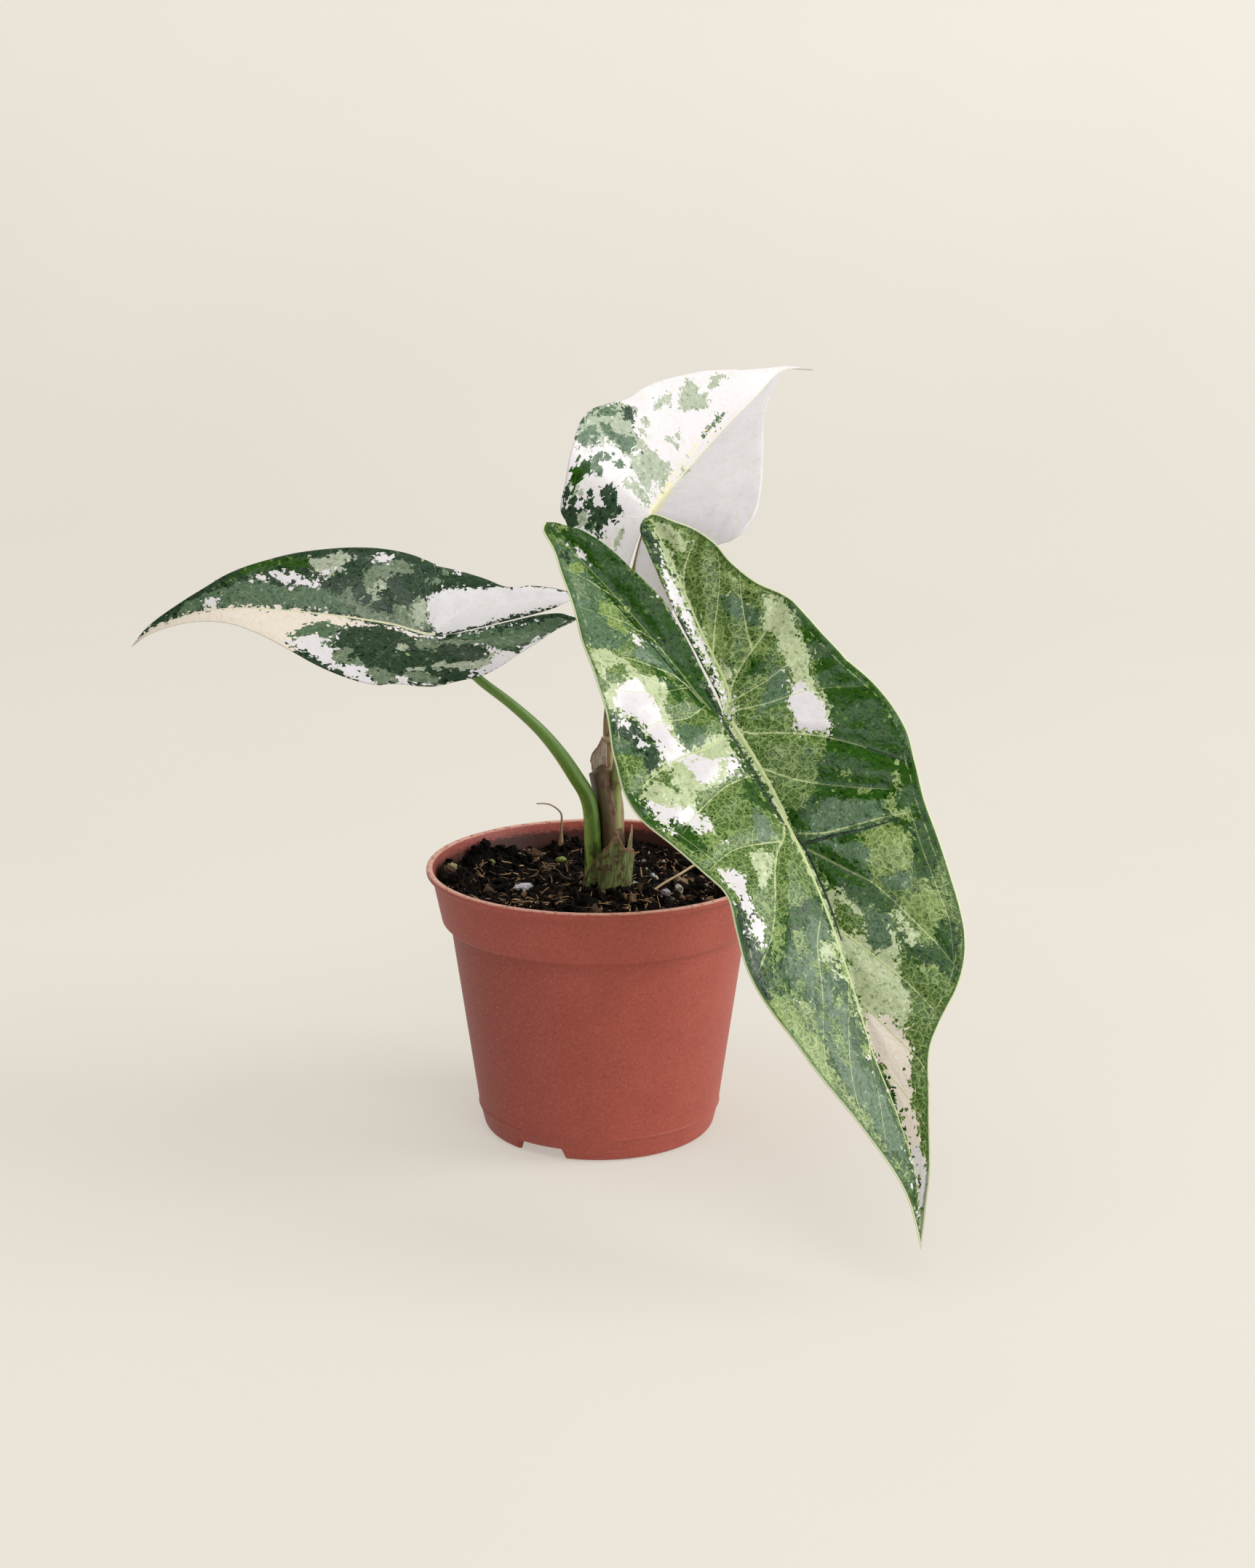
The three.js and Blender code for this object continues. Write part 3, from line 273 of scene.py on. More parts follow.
W 26,-36 28.1,-30.2 33.2,-27.4 38.7,-27.9 42,-27.1 43.2,-24.9 37.9,-33.3 34.4,-33.9 30,-38.1
D 30,-38.1 34.4,-33.9 38.6,-33.7 43.4,-32.3 43.5,-36.5 37.3,-42.4
L 34.8,-31.4 39.3,-28.6 43.9,-25.6 44.3,-27.2 39.4,-32.7
C 48.1,-19.1 49.6,-11.3 55,-13.6 62.3,-20.6 59.1,-22.3 53.3,-21.2
W 51.4,-32.7 55.1,-25.7 62,-27.3 71.7,-28.3 76.3,-26 83.3,-29.2 79.3,-31.2 71.5,-31.1 61.3,-31.3
 56.2,-33.5
K 64.1,-32.3 71.5,-31.1 79.3,-30.9 84.4,-30.1 91.3,-31.2 100,-31.4 98,-35.9 87.7,-37.8 74.3,-36.1
W 75,-33.8 75.8,-32.1 78.1,-32.6 77.3,-34.1
D 84.5,-29.1 78.7,-25 74.3,-20.2 69.9,-11.6 67.5,-1.5 76.3,-1.3 81.4,-1.7 82.3,-6.3 77.3,-7.2 81.6,-13.1
 90.9,-16.6 95.1,-20.9 100.4,-28 93.6,-31.1
S 74.5,-7.8 76.2,-2.4 81.3,-3.1 91.4,-11.3 100.7,-15.9 107.4,-19.4 107.8,-15.5 96.7,-7.6 96.8,-6.3
 108.1,-12.9 114.8,-13.8 122.4,-7.1 134.6,-9.2 133.2,-15.8 116.7,-16.2 107.5,-18.6 98,-18.3 90.7,-18.4
 81.6,-13.4
L 78.8,-24.2 74.4,-20.8 75.8,-18 82.8,-21.7 87.2,-25.4 84.7,-26.3
L 79.7,-16.8 77.8,-14.1 85.9,-16.1 90.2,-19.9 85.5,-19.5
C 84.2,-9.1 84.6,-1.5 89.8,-3.5 88.7,-9.1
C 89.4,-5.1 93.2,-0.5 97.3,-0.7 95.7,-4.7
L 100.9,-33.2 97.4,-23.2 106.2,-20.3 113.9,-21.6 118.5,-19.4 133.5,-14.5 131.1,-26 117.2,-28.5 110.5,-31.1
 100.5,-34.8
D 108.4,-10.4 103.9,-4.7 109.3,-0.4 117.4,-2 124.9,0.4 136.8,0.4 135.4,-5 125,-5.7 115.1,-11.4
L 101.6,-3.9 105.7,-1 113.7,-1.4 111.2,-2.9 107.5,-3.9
L 98.9,-7.3 101.4,-5.9 108.3,-8.7 105.9,-9.6
S 75,-9.1 77,-5.1 85.1,-7.1 84.6,-11.7
S 83.7,-20.5 85,-17.6 93.7,-19.7 93.2,-24.0
S 93.6,-12.8 93.3,-5.5 100.3,-8 103.6,-15.0
S 104.9,-11.9 104.6,-4.7 124.5,-8.9 130,-10.5 129.9,-15.3 117.3,-12.8
M 86.7,-28.2 97.2,-25.3 104,-20.7 113.7,-19.5 109.6,-22.5 96.9,-27.4
L 89.5,-13.5 88.8,-10.9 91.8,-10.9 94.4,-14.2
L 85.5,-2.4 91.8,0 95.8,-1.6 94.5,-4.1
L 77.3,-21.5 79.6,-20.1 85.3,-23.3 83.1,-24.8
M 78.2,-13.9 80.4,-12.4 88.4,-14.3 86.1,-16.9
M 97.7,-2.3 105.8,-2.7 111.8,-2.3 109.6,-4.0
S 125.7,-8.3 125.5,-4.2 133.9,-2.7 144.6,-1.9 157.3,-1.7 164,-2.5 156.1,-7.8 141.9,-11.1 132.7,-13.6
M 125.3,-20.7 128.9,-15 138.2,-12.8 148.9,-9.7 160,-5.3 152,-11 140,-16.9 131.3,-20.6
M 106.8,-13.1 108.9,-9.6 116.9,-9.2 124.3,-11.5 118.8,-14.3
L 132.3,-15.6 138.6,-10.7 142,-10.9 137.6,-15.8
L 117.6,-3.4 117.9,-0.6 121.3,-2.1 121,-4.8
L 152.6,-7.8 156.1,-3.1 158,-2.5 155.3,-7.5
L 113,-13.1 114.1,-10.3 117.6,-10.6 116.4,-13.3
D 147.8,-6.9 153.3,-4.5 160.6,-1.9 165.9,-1.6 158.6,-3.8 151.1,-7.1
W -60.3,8.6 -54.9,8.1 -48.5,7.6 -40.7,7.4 -32,6.8 -22.1,5.8 -12.1,4.6 -4.4,3.8 -1,1.6 -5.3,2 -15.2,3.1
 -26.4,3.8 -38.7,4 -45.2,4.5 -52.8,5.1
"""
LEFT_PATCHES = """
S 85.6,-3 82.8,-4.5 80.2,-5.7 78,-6.2 74.3,-7.3 70,-8.5 66.7,-10 63,-10.6 58.1,-9.8 55,-9.4 49,-9 43,-10
 39.9,-9.2 36.7,-8.4 34.5,-7 30.9,-6.4 28.1,-4 26.2,-1.1 33.8,-1.2 43.9,-1 54.1,-0.6 64.3,-0.3 74.6,-0.1
 81.8,-0.4 88.3,-0.3 91.7,-0.1 88,-1.8
W 77.4,-4.4 75.4,-4.6 73.4,-3.8 74,-1.1 76.6,-0.7 78.3,-2.1
W 61.2,-12.2 58.8,-12 58.1,-10.3 60,-9.5 61.5,-10.6
W 56.7,-13.9 52.6,-14.7 51.3,-13.4 48.4,-13 45.4,-12.6 41.2,-11.5 39.5,-10 43,-9.8 49,-9.2 53.1,-9.9
 55.2,-10.9
D 71.4,-10.4 65.1,-14.6 58,-18.5 50.3,-20.6 45.2,-21.3 44.7,-17.3 49.7,-15.6 55.6,-15.1 62.2,-13
 67.7,-10.1 74.2,-7.9
P 45,-19.1 41.4,-21.5 36.6,-23.4 31.1,-24.4 30.3,-22.1 32.7,-20.9 33.1,-18.1 35.8,-17.2 37,-14.9
 38.9,-13.5 40.6,-14.8 43.7,-15.7
W 40.1,-14.9 36.7,-16.5 36.5,-14.8 38.9,-13.3
G 25.9,-18.7 21.4,-21.9 16.9,-24.2 13.8,-24.1 12.4,-20.5 13.9,-19.1 15.7,-19 16.9,-17.5 19.5,-16.2
 22.6,-15.5 22.5,-13.4 23.2,-8.7 24.7,-9 26.5,-15.6
P 22.7,-12.6 20.5,-15 19.3,-14.7 19.4,-12.3 20.8,-11.2 20.6,-8.1 22.4,-6.8 23.5,-9.8
W 23.8,-23.9 20.9,-25.6 17.7,-24.7 18.6,-23 22.3,-21.5
G 31.4,-10.3 28.8,-9.5 28.4,-6.7 25.2,-5 20.9,-3.5 15.9,-3.9 15.4,-6.8 12.8,-7.1 10.8,-6.1 9.9,-10.7
 7.8,-12.7 5,-11.6 3.4,-7.2 2,-2.2 4.8,-0.9 9.2,-0 15.3,0.4 21.5,-0.3 25.6,-0.9 29,-3.7 32.5,-7.3
P 10.2,-9.7 7.8,-12.7 4.9,-11.4 2.8,-3.6 7.6,-1.9 9.6,-5.4
W 6,-13.6 -1.6,-16.2 -8.4,-17.4 -12.6,-17.4 -20.2,-16.9 -26.1,-16.3 -32.5,-16.1 -40.3,-14 -49.2,-7.3
 -47.2,0.8 -36.8,0.8 -26.6,0.8 -16.6,0.8 -6.9,0.8 -0.9,0.8 0.8,-1.5 2.4,-3.9 4.4,-9.4
G -5,-25.6 -9.3,-26.1 -8.1,-23.7 -5,-23.9
W -11.7,-25.4 -14.3,-25.1 -13.5,-23.8 -11.4,-23.8
G 8.2,-20.7 -5.7,-22 -5.2,-19.7 5.8,-18.8
B 109.3,-0.8 106.3,-0.8 91.5,-0.7 74.6,-0.6 56.1,-0.8 43.9,-0.8 33.7,-0.4 18.2,2.3 3,1.3 2.8,3.4 18.1,3.1
 32.5,10.5 47.7,15.7 45.2,19.3 73.7,20.2
W 3,1.3 18.2,2 27.1,4.5 37.7,8 48.8,15.5 45.4,17.9 12.6,34.2 -4,29.9 -22.2,27.5 -45.5,9.7 -46.5,5.4
 -26.5,3.4
S 48.6,13.4 42.8,7.3 39.2,4.4 35.3,3.3 33.1,4.9 28.9,4.3 30.8,7.1 32.3,10.1 33.1,13.5 36.2,12.6 38.4,10.7
 42.2,12 45.9,14.6
S 36.6,12.9 32.9,13.2 32.2,16.3 35.3,16.8
K 32.5,10.2 30,5.9 25.2,3.3 18.2,1.5 13,2.4 7.7,3 2.9,2.3 -2.9,1.6 -16.5,2.9 -26.5,3.4 -36.8,2.8 -45.8,3.9
 -45.9,7.8 -38.2,10.1 -31.8,16.6 -26.5,19.2 -22,23.2 -17.5,25.8 -12.5,27.8 -8.4,26.2 -2.8,25.3 4.9,25.6
 6.3,22 8.9,24.9 10,28.9 14.1,30.3 18.2,28.4 20.8,24.9 24.1,22.9 30.9,24.1 32.7,21 31.7,17.3 33,14.7
G 32.6,18.2 28,14.5 24.8,16 23.4,20 21.1,22.3 15.8,22.5 10,24 8.6,26.2 14.3,29.9 18.3,28 21.9,24.1 27.1,23
 30.9,24.1
K 27.2,17.2 25.2,17.5 24.8,20.9 27.3,20.7
P 11.2,9.7 7.8,8.7 7.4,11.8 10,13.2
G 6.8,5.8 2.9,2.6 -1.8,3.5 -6.7,3.3 -11,6.6 -12.4,10 -9,7.7 -4.5,5.3 0.2,5.8 2.6,8.7 4.6,9.4
W -13.3,10.2 -15.9,12.2 -19.1,16.2 -23.3,18.3 -27.2,15.2 -35,11 -35.5,13.3 -26.3,20.2 -18.5,25.4
 -11.1,25.5 -8.7,23.7 -9.9,21.7 -13.6,20.5 -15.7,16.5
P 1,13.6 -3.6,15.9 -9.5,17.7 -14.1,17.4 -16,14.6 -16.3,16.8 -14,21.1 -11.5,22.6 -8.8,23 -4.9,19.4
 -0.2,17.6
S -4.8,2.5 -16.4,3.8 -28.2,5.3 -36.3,5.1 -43.7,6.3 -37.9,9.5 -33.2,12.4 -28.8,14.3 -24.4,14.5 -18.1,16.2
 -15,11.8 -10.9,6.9
W -28.1,12.8 -31.4,11.4 -32.6,12.8 -29.1,15.2
G 6.7,22.5 3.4,19.1 0.5,19.9 -0,23.5 4.9,25.6
P 6.7,19.1 3.2,16.5 3.1,18.9 6.1,20.8
"""
BACK_PATCHES = """
P 2.1,37.8 4.5,39 9.1,39.6 13.1,38.9 17,37.7 21.4,35.5 25.2,32.5 27.4,28.6 26,26.6 22.3,25.8 21.5,24.4
 19.2,24.8 18.7,22.2 18.1,20.6 19.9,16 17.8,15.7 13.6,18.5 11.4,18.1 8.1,20.1 8.6,22.6 6.7,27.4 2.5,30.9
 -0.6,34.6
S -0.4,35.2 1.5,36.5 5.4,36.7 7.7,35.4 8.1,32.5 6.4,31.1 4.6,31.6 5.7,28.7 2.5,30.9 -0.6,34.6
S 10.8,34.4 11.8,31.4 11.8,28.1 14,24.6 17.2,21.1 14.7,18.7 11.5,19.1 8.5,20.3 9.1,23 8.6,25.8 7.9,29.4
 9.2,32.6
K 23.4,31.7 26.7,29 25.6,26.9 21.4,26.4 19,28.3 20.4,30.0
S 14.9,37.1 22,34.6 19.5,32.4 16.3,31.8 13.7,34.1 13.1,35.7
S 3,38.9 6.9,39.9 11.9,39.2 16.8,37.6 15.6,36.9 11.3,38.2 7.2,38.8 4,38.3
S 0,29.7 2.7,27.1 4.1,24.1 3.6,22.6 6.4,19.6 4.6,17.2 2.7,18 2.8,21.1 1.4,25.1 -0.2,25.5 -1.1,23.8 -2,25.1
 -1,27.4
D -6.6,31.5 -4.7,32.5 -3,32.3 -1.5,31.5 -1.1,29.1 -1.8,27.3 -3.2,27.3 -4.6,28.4 -6.1,29.5
K -12.6,29.9 -9.6,31 -6.6,32 -6.7,28.9 -8.2,28.5 -8.1,25.6 -7.1,24.4 -5.8,20.4 -4.1,20.6 -2.8,18.3
 -1.5,17.5 -3.1,16.4 -4.2,13.6 -6.1,9.5 -8.7,12.4 -10.5,13.7 -13.3,14 -14.9,13.7 -13.5,18.8 -15.3,26.2
W -9,25.9 -8.1,22.8 -9.4,21.7 -10.1,24.4
W -6.2,20.9 -5,18.4 -6.6,16.6 -7.7,17.3 -7.8,19.7
W -9,30.3 -8.6,28.6 -9.6,27.9 -10,29.4
W -4.2,26.4 -3.8,25.6 -4.4,24.8 -5.4,25.9 -6.1,26.8 -6.2,27.9
P -11.5,23.6 -9.9,20.8 -11.9,19.5 -13.3,21.3 -12.8,22.8
P -7.2,29.3 -6.3,27.6 -7,26 -8,27.7
P 9.9,18.5 14.3,15.7 17.9,15.8 20.9,13.1 21.8,8.8 21.2,4.4 14.8,2.5 8.1,2.8 4.9,3.3 4.7,6.5 5.2,10.2
 7,12.6 7.5,16.3
P 0.9,14.8 3.9,12.3 4.2,9.2 4.3,6 3.2,2.8 -0.1,3.4 -0.4,6.3 -0.3,10.5
W 8.2,6.4 12.6,6.9 9.7,3.9 5.5,2.5
P 48.9,18.8 52.8,20.7 59.8,22.6 62.9,21.5 63.1,17.7 60.2,16.4 62.5,14.5 66.9,14.2 62.3,12.2 61.3,9.6
 57.5,10.3 52.2,12.9 49,14.3 47.9,16.9
P 68.1,15.6 71.6,16.5 77.3,15.5 79,13.3 74.1,13 68.7,13.3 67.1,14.7
P 36,24.2 40,24.9 45.7,24.1 47.9,23.1 45.2,21.2 42.6,22.1 38.4,22.7
P 25.5,24.5 29.1,23.7 30.1,21.4 27.2,21 24.9,22.7
P 20.7,23.8 23.4,22.2 23.1,18.5 21.8,18.8 21,21.7
P 29.5,14 33.1,13.6 33.8,9.6 35,6 32.8,6.6 30.7,10.2
P 35.9,12.2 38.4,11.8 36.8,9.2 35.2,9.5
Y -2.3,1.9 3.4,1.1 10,1.9 20.4,3.2 28.2,3.3 43.3,3.9 64.8,4 64,3.4 41.8,2.7 26.3,2 17.5,0.9 9.2,0.1
 2.6,-0.8 -0.3,-0.0
S 45.6,4.2 53.9,5.4 62.6,5.2 66.5,3.7 59.9,3.4 54.7,2.8 47.6,3.1
P 22.3,0.8 27.9,0.8 30.9,-0.6 26.6,-2.2 24.5,-0.5
P -15.9,9.1 -12.1,8.2 -9.2,7.9 -10.2,6.4 -14.9,6.1 -17,8.0
Y -1.5,0.8 4.8,-1.1 17.5,0.8 18.9,-0.5 6.7,-2.8 0.6,-3.1
"""

# Veins: v pale or d dark, half width at the root and at the end, then the route in flat u,v; a d line is
# painted shade along a sunken vein and beside the midrib, partly the vein's own dark green

FRONT_VEINS = """
v 0.85 0.6 2,1.1 8,1.4 20,1.6 32,1.4 40,1
v 0.65 0.12 36,0.4 50,-0.2 64,-0.8 90,-0.8 130,-0.4 176,0
d 0.8 0.7 -12,-1 -4,-1.1 10,-1.1 26,-1.2 42,-0.6
d 0.7 0.3 42,-0.6 50,1.2 60,0.9 74,0.7 84,0.5
v 0.6 0.2 -2,0.8 -6,4.4 -12,6 -22,7 -31,7.7 -41,9 -51,10.5 -60,12 -70,12.4
v 0.5 0.15 -4,-3.4 -12,-5 -21,-6.2 -30,-7.7 -48,-10.8 -62,-13.4 -80,-17.4
d 0.5 0.3 -8,-6 -21,-8 -30,-9.7 -48,-12.8 -62,-15
v 0.5 0.2 6,2 9,5 12,11 16,18 21,25 29,34 38,42
d 0.5 0.2 30,35 38,42 42,45
v 0.5 0.12 46,1.5 50,10 53,28 55,38
d 0.8 0.3 50,2 52,12 54,22 55,32
v 0.5 0.2 52,1.5 62,9 70,16 80,21.5 91,27 100,31
v 0.45 0.15 80,1 92,9 104,17 114,22
v 0.35 0.12 104,0.6 116,7 128,12 136,12
v 0.3 0.1 124,0.5 138,5 148,7
v 0.4 0.15 20,1 30,10 39,22 46,34
v 0.58 0.2 42,-1.2 46,-4 50,-9 57,-14 66,-18 75,-22 83,-27 90,-33
v 0.4 0.12 47,-6 46,-22 48,-30 51,-36
v 0.4 0.15 22,-1 24,-14 30,-28 36,-38
v 0.5 0.2 3,-2.5 7,-6 9,-15 10,-25 14,-38 19,-45
v 0.35 0.12 70,-1 84,-9 100,-13 116,-18 128,-21
v 0.3 0.1 94,-1 112,-7 130,-13 142,-14
v 0.3 0.1 116,-0.5 134,-5 150,-9
v 0.48 0.2 -7,-4.6 -18,-8 -23,-13 -28,-20 -33,-28 -37,-34
v 0.3 0.1 -14,-6 -14,-16 -16,-28 -20,-38
v 0.3 0.1 -6,-4 -3,-14 -4,-26 0,-40
v 0.35 0.1 -34,-8 -44,-15 -54,-26
v 0.3 0.1 -52,-11 -62,-17 -70,-23
v 0.52 0.2 -3,2.5 -9,7 -14,13 -18,20 -22,27 -28,33
v 0.4 0.12 -17,18 -27,20.6 -36,24 -42,27
v 0.4 0.12 -22,7 -32,13 -44,21 -52,25
v 0.5 0.12 -46,9.6 -52,13 -57,18 -61,24
v 0.3 0.1 -1,2 2,14 4,28 10,44
v 0.3 0.1 -4,3 -5,16 -8,30 -10,38
v 0.3 0.12 52,37 64,34.5 76,34 88,34 100,31
v 0.3 0.12 26,-44 38,-38 50,-32.5 60,-31
"""
LEFT_VEINS = """
v 0.6 0.12 0.2,0 40,0 105,0
v 0.5 0.1 -2,2 -12,7 -25,9 -36,8
v 0.5 0.1 -2,-2 -12,-7 -25,-9.5 -36,-9
v 0.5 0.15 24,-1 33,-6 38,-11 48,-20
v 0.3 0.1 58,-1 67,-8 74,-11
v 0.3 0.1 42,-1 52,-8 60,-14
v 0.4 0.12 8,-1 14,-9 22,-17 33,-24
v 0.35 0.1 3,-3 6,-13 12,-25
v 0.3 0.1 -8,-5 -8,-14 -4,-24
v 0.3 0.1 -20,-8.6 -24,-14
v 0.4 0.12 5,1 12,8 18,18 24,26
v 0.35 0.1 22,1 30,7 38,14 45,18
v 0.3 0.1 40,1 50,6 60,10
v 0.45 0.12 -5,4 -7,8 -12,14 -20,19
v 0.3 0.1 -2,3 2,12 6,22
v 0.3 0.1 -25,9 -31,13
"""
BACK_VEINS = """
v 0.6 0.12 0.2,0 60,0 122,0
v 0.5 0.1 -2,1.6 -12,6 -24,10 -36,13
v 0.5 0.1 -2,-1.6 -12,-6 -22,-9.5 -32,-12
v 0.4 0.12 6,1 16,10 26,20 40,29
v 0.35 0.1 26,1 38,9 52,18 62,22
v 0.3 0.1 48,1 60,8 74,15
v 0.3 0.1 70,1 82,6 92,8
v 0.3 0.1 2,2 7,14 14,30
v 0.35 0.12 -5,3.4 -8,14 -7,26
v 0.35 0.12 -16,7.6 -22,14 -27,19
v 0.35 0.12 6,-1 16,-10 26,-18 36,-26
v 0.3 0.1 26,-1 38,-9 52,-16
v 0.3 0.1 48,-1 60,-7 72,-10
v 0.3 0.1 2,-2 6,-14 10,-28
v 0.35 0.12 -5,-3.4 -7,-14 -3,-28
v 0.3 0.1 -18,-8 -22,-14
"""

# Tones of the marbling: dark, middle and light parts, the net's lines and how strongly they show
TONES = {
    "W": ((212, 210, 202), (220, 215, 216), (222, 218, 224), (226, 220, 222), 0.15),
    "B": ((220, 208, 190), (226, 214, 198), (229, 217, 202), (229, 217, 202), 0.1),
    "C": ((126, 143, 96), (172, 185, 138), (204, 212, 178), (212, 218, 184), 0.45),
    "P": ((118, 134, 102), (154, 167, 137), (200, 206, 184), (206, 210, 190), 0.3),
    "Y": ((222, 214, 168), (228, 220, 184), (230, 224, 200), (230, 224, 200), 0.1),
    "L": ((64, 93, 30), (104, 129, 60), (156, 176, 108), (170, 188, 124), 0.65),
    "M": ((32, 62, 8), (62, 92, 28), (120, 145, 74), (146, 167, 102), 0.75),
    "G": ((74, 94, 66), (98, 118, 86), (146, 164, 130), (142, 162, 128), 0.4),
    "D": ((6, 42, 0), (32, 72, 4), (88, 118, 48), (56, 94, 24), 0.4),
    "K": ((12, 30, 14), (36, 60, 36), (92, 114, 84), (66, 92, 60), 0.35),
    # S: mostly painted sheen, the bluish grey of highlights, partly slate mottling
    "S": ((46, 74, 44), (74, 101, 68), (134, 156, 124), (112, 138, 102), 0.4),
}

# Stalks, stem and sheaths: the CAD centrelines with their radii

LEFT_PETIOLE = {
    "path": [
        [-1.2, -0.8, 79], [-1.5, -2, 88], [-1.8, -2.5, 103], [-2.4, -3.5, 114], [-4.1, -4.5, 121],
        [-7.5, -6, 127.3], [-13.1, -8, 136.5], [-20.2, -9.5, 145.5], [-29.5, -11, 154.5],
        [-39.5, -12, 162.7], [-47.8, -12.7, 171], [-54.3, -12.5, 177.9]],
    "radius": [3.1, 3.1, 3, 2.8, 2.6, 2.5, 2.2, 1.9, 1.7, 1.6, 1.5, 1.5]}
BACK_PETIOLE = {
    "path": [
        [4, 2.2, 110], [3.9, 2.8, 122], [3.8, 4.8, 136], [4.2, 9, 150], [7.2, 17, 168.5],
        [11.4, 24.2, 187], [15.2, 28, 202], [18.5, 26, 213.2]],
    "radius": [2.1, 2.1, 2.1, 1.7, 1.7, 1.6, 1.5, 1.5]}
FRONT_PETIOLE = {
    "path": [
        [6.2, -2, 108], [6, -2.4, 122], [8.6, -6.2, 139], [14.4, -15, 152.5], [22, -28.5, 161.5],
        [31.5, -45.5, 165], [41.2, -62.8, 160.9]],
    "radius": [2.1, 2.1, 2, 1.9, 1.8, 1.7, 1.7]}
STEM = {
    "path": [[5.4, 0, 79], [5.4, 0, 88], [4.8, 0, 103], [3.9, 0.2, 116], [1.4, 0.8, 128]],
    "radius": [4.3, 4.3, 4.3, 4.8, 4.6]}
TENDRIL = {
    "path": [
        [-14.4, 48, 84], [-14.2, 48, 93.4], [-14, 48, 99.1], [-15.1, 48, 101.3], [-17.5, 48, 103.1],
        [-20.1, 48, 103.8], [-23.1, 48, 103.8]],
    "radius": [1.6, 1.1, 0.5, 0.4, 0.35, 0.3, 0.25]}
STRAW = {
    "path": [
        [17, -10, 85.6], [20, -6.2, 87.6], [23.9, -1.3, 88.8], [28.6, 5, 89.6], [33.9, 16.2, 89.6],
        [36.4, 22.4, 88.4]],
    "radius": [0.4, 0.45, 0.45, 0.45, 0.4, 0.35]}

# Sheaths: centre, foot, then the top edge as degrees from the front toward +X, height and radius
OLD_SHEATH = {
    "centre": [3.6, -0.6], "foot": 80,
    "edge": [
        [-104, 86, 8.8], [-84, 88.6, 8.9], [-61, 93.3, 8.1], [-37, 98.2, 7.4], [-8, 103, 6.9],
        [21, 106.8, 6.9], [45, 102.5, 7.6], [78, 100.4, 8.6], [110, 93, 8.2], [142, 85, 6.8]]}
SIDE_SHEATH = {
    "centre": [5.4, 0], "foot": 80,
    "edge": [
        [36, 94, 5.2], [50, 101, 5.6], [68, 107, 6], [81, 109.5, 6.1], [95, 105, 6.2], [110, 97, 6],
        [130, 88, 5.6]]}
DRY_SHEATH = {
    "centre": [3.9, 3.2], "foot": 123.5,
    "edge": [
        [-100, 128, 5.9], [-90, 131.5, 6.2], [-80, 134.5, 5], [-66, 137.5, 3.8], [-45, 140, 3.1],
        [-20, 138.5, 3]]}

# Grains: place, half the length, width and height, turn, colour
GRAINS = [
    ([-26.3, -3.6, 87.4], [3.5, 1.7, 1.4], 0.35, (230, 226, 234)),
    ([-51.4, 4, 92.4], [1.8, 1.7, 1.6], 0, (179, 169, 124)),
    ([-38.6, 23.9, 88.4], [1.4, 1.3, 1.1], 0.4, (125, 143, 69)),
    ([-27, 37, 87.4], [1.2, 1.1, 1], 0.2, (182, 189, 126)),
    ([-13.9, 31, 87.4], [1.9, 1.2, 1.1], 0.1, (159, 176, 78)),
    ([23.2, -10.3, 87.4], [1.7, 1.6, 1.4], 0.5, (185, 177, 186)),
    ([19, 11.4, 87.2], [0.9, 0.8, 0.8], 0, (233, 230, 228)),
]


# Curves and surfaces

def along(rows, key):
    """A smooth curve through rows [key, a, b, ...], read at an array of keys."""
    rows = np.asarray(rows, float)
    x, y = rows[:, 0], rows[:, 1:]
    ends = np.clip(np.stack([np.arange(len(x)) - 1, np.arange(len(x)) + 1]), 0, len(x) - 1)
    slope = (y[ends[1]] - y[ends[0]]) / (x[ends[1]] - x[ends[0]])[:, None]
    key = np.clip(np.asarray(key, float), x[0], x[-1])
    i = np.clip(np.searchsorted(x, key, side="right") - 1, 0, len(x) - 2)
    h = (x[i + 1] - x[i])[..., None]
    s = (key[..., None] - x[i][..., None]) / h
    start = 2 * s ** 3 - 3 * s ** 2 + 1
    return (start * y[i] + (1 - start) * y[i + 1]
            + (s ** 3 - 2 * s ** 2 + s) * h * slope[i] + (s ** 3 - s ** 2) * h * slope[i + 1])


def smooth_line(points, shares):
    """A smooth flat line through points, read at shares of its rows of points."""
    p = np.asarray(points, float)
    t = np.clip(np.asarray(shares, float), 0, 1) * (len(p) - 1)
    i = np.clip(t.astype(int), 0, len(p) - 2)
    s = (t - i)[:, None]
    a, b, c, d = (p[np.clip(i + k, 0, len(p) - 1)] for k in (-1, 0, 1, 2))
    m, n = (c - a) / 2, (d - b) / 2
    return (2 * b - 2 * c + m + n) * s ** 3 + (-3 * b + 3 * c - 2 * m - n) * s ** 2 + m * s + b


def even_line(points, count):
    """The same smooth line as points that are evenly spaced along it."""
    fine = smooth_line(points, np.linspace(0, 1, 400))
    run = np.concatenate([[0], np.cumsum(np.linalg.norm(np.diff(fine, axis=0), axis=1))])
    return np.stack([np.interp(np.linspace(0, run[-1], count), run, c) for c in fine.T], 1)


def line_distance(points, line):
    """Distance of flat points to an open line."""
    best = np.full(len(points), 1e9)
    for a, b in zip(line[:-1], line[1:]):
        ab = b - a
        t = np.clip((points - a) @ ab / max(ab @ ab, 1e-9), 0, 1)
        best = np.minimum(best, np.linalg.norm(points - a - t[:, None] * ab, axis=1))
    return best


def signed_distance(points, outline):
    """Distance of flat points to a closed outline, positive inside it."""
    inside = np.zeros(len(points), bool)
    x, y = points.T
    for a, b in zip(outline, np.roll(outline, -1, 0)):
        if a[1] != b[1]:
            crosses = (a[1] > y) != (b[1] > y)
            inside ^= crosses & (x < (b[0] - a[0]) * (y - a[1]) / (b[1] - a[1]) + a[0])
    away = line_distance(points, np.vstack([outline, outline[:1]]))
    return np.where(inside, away, -away)


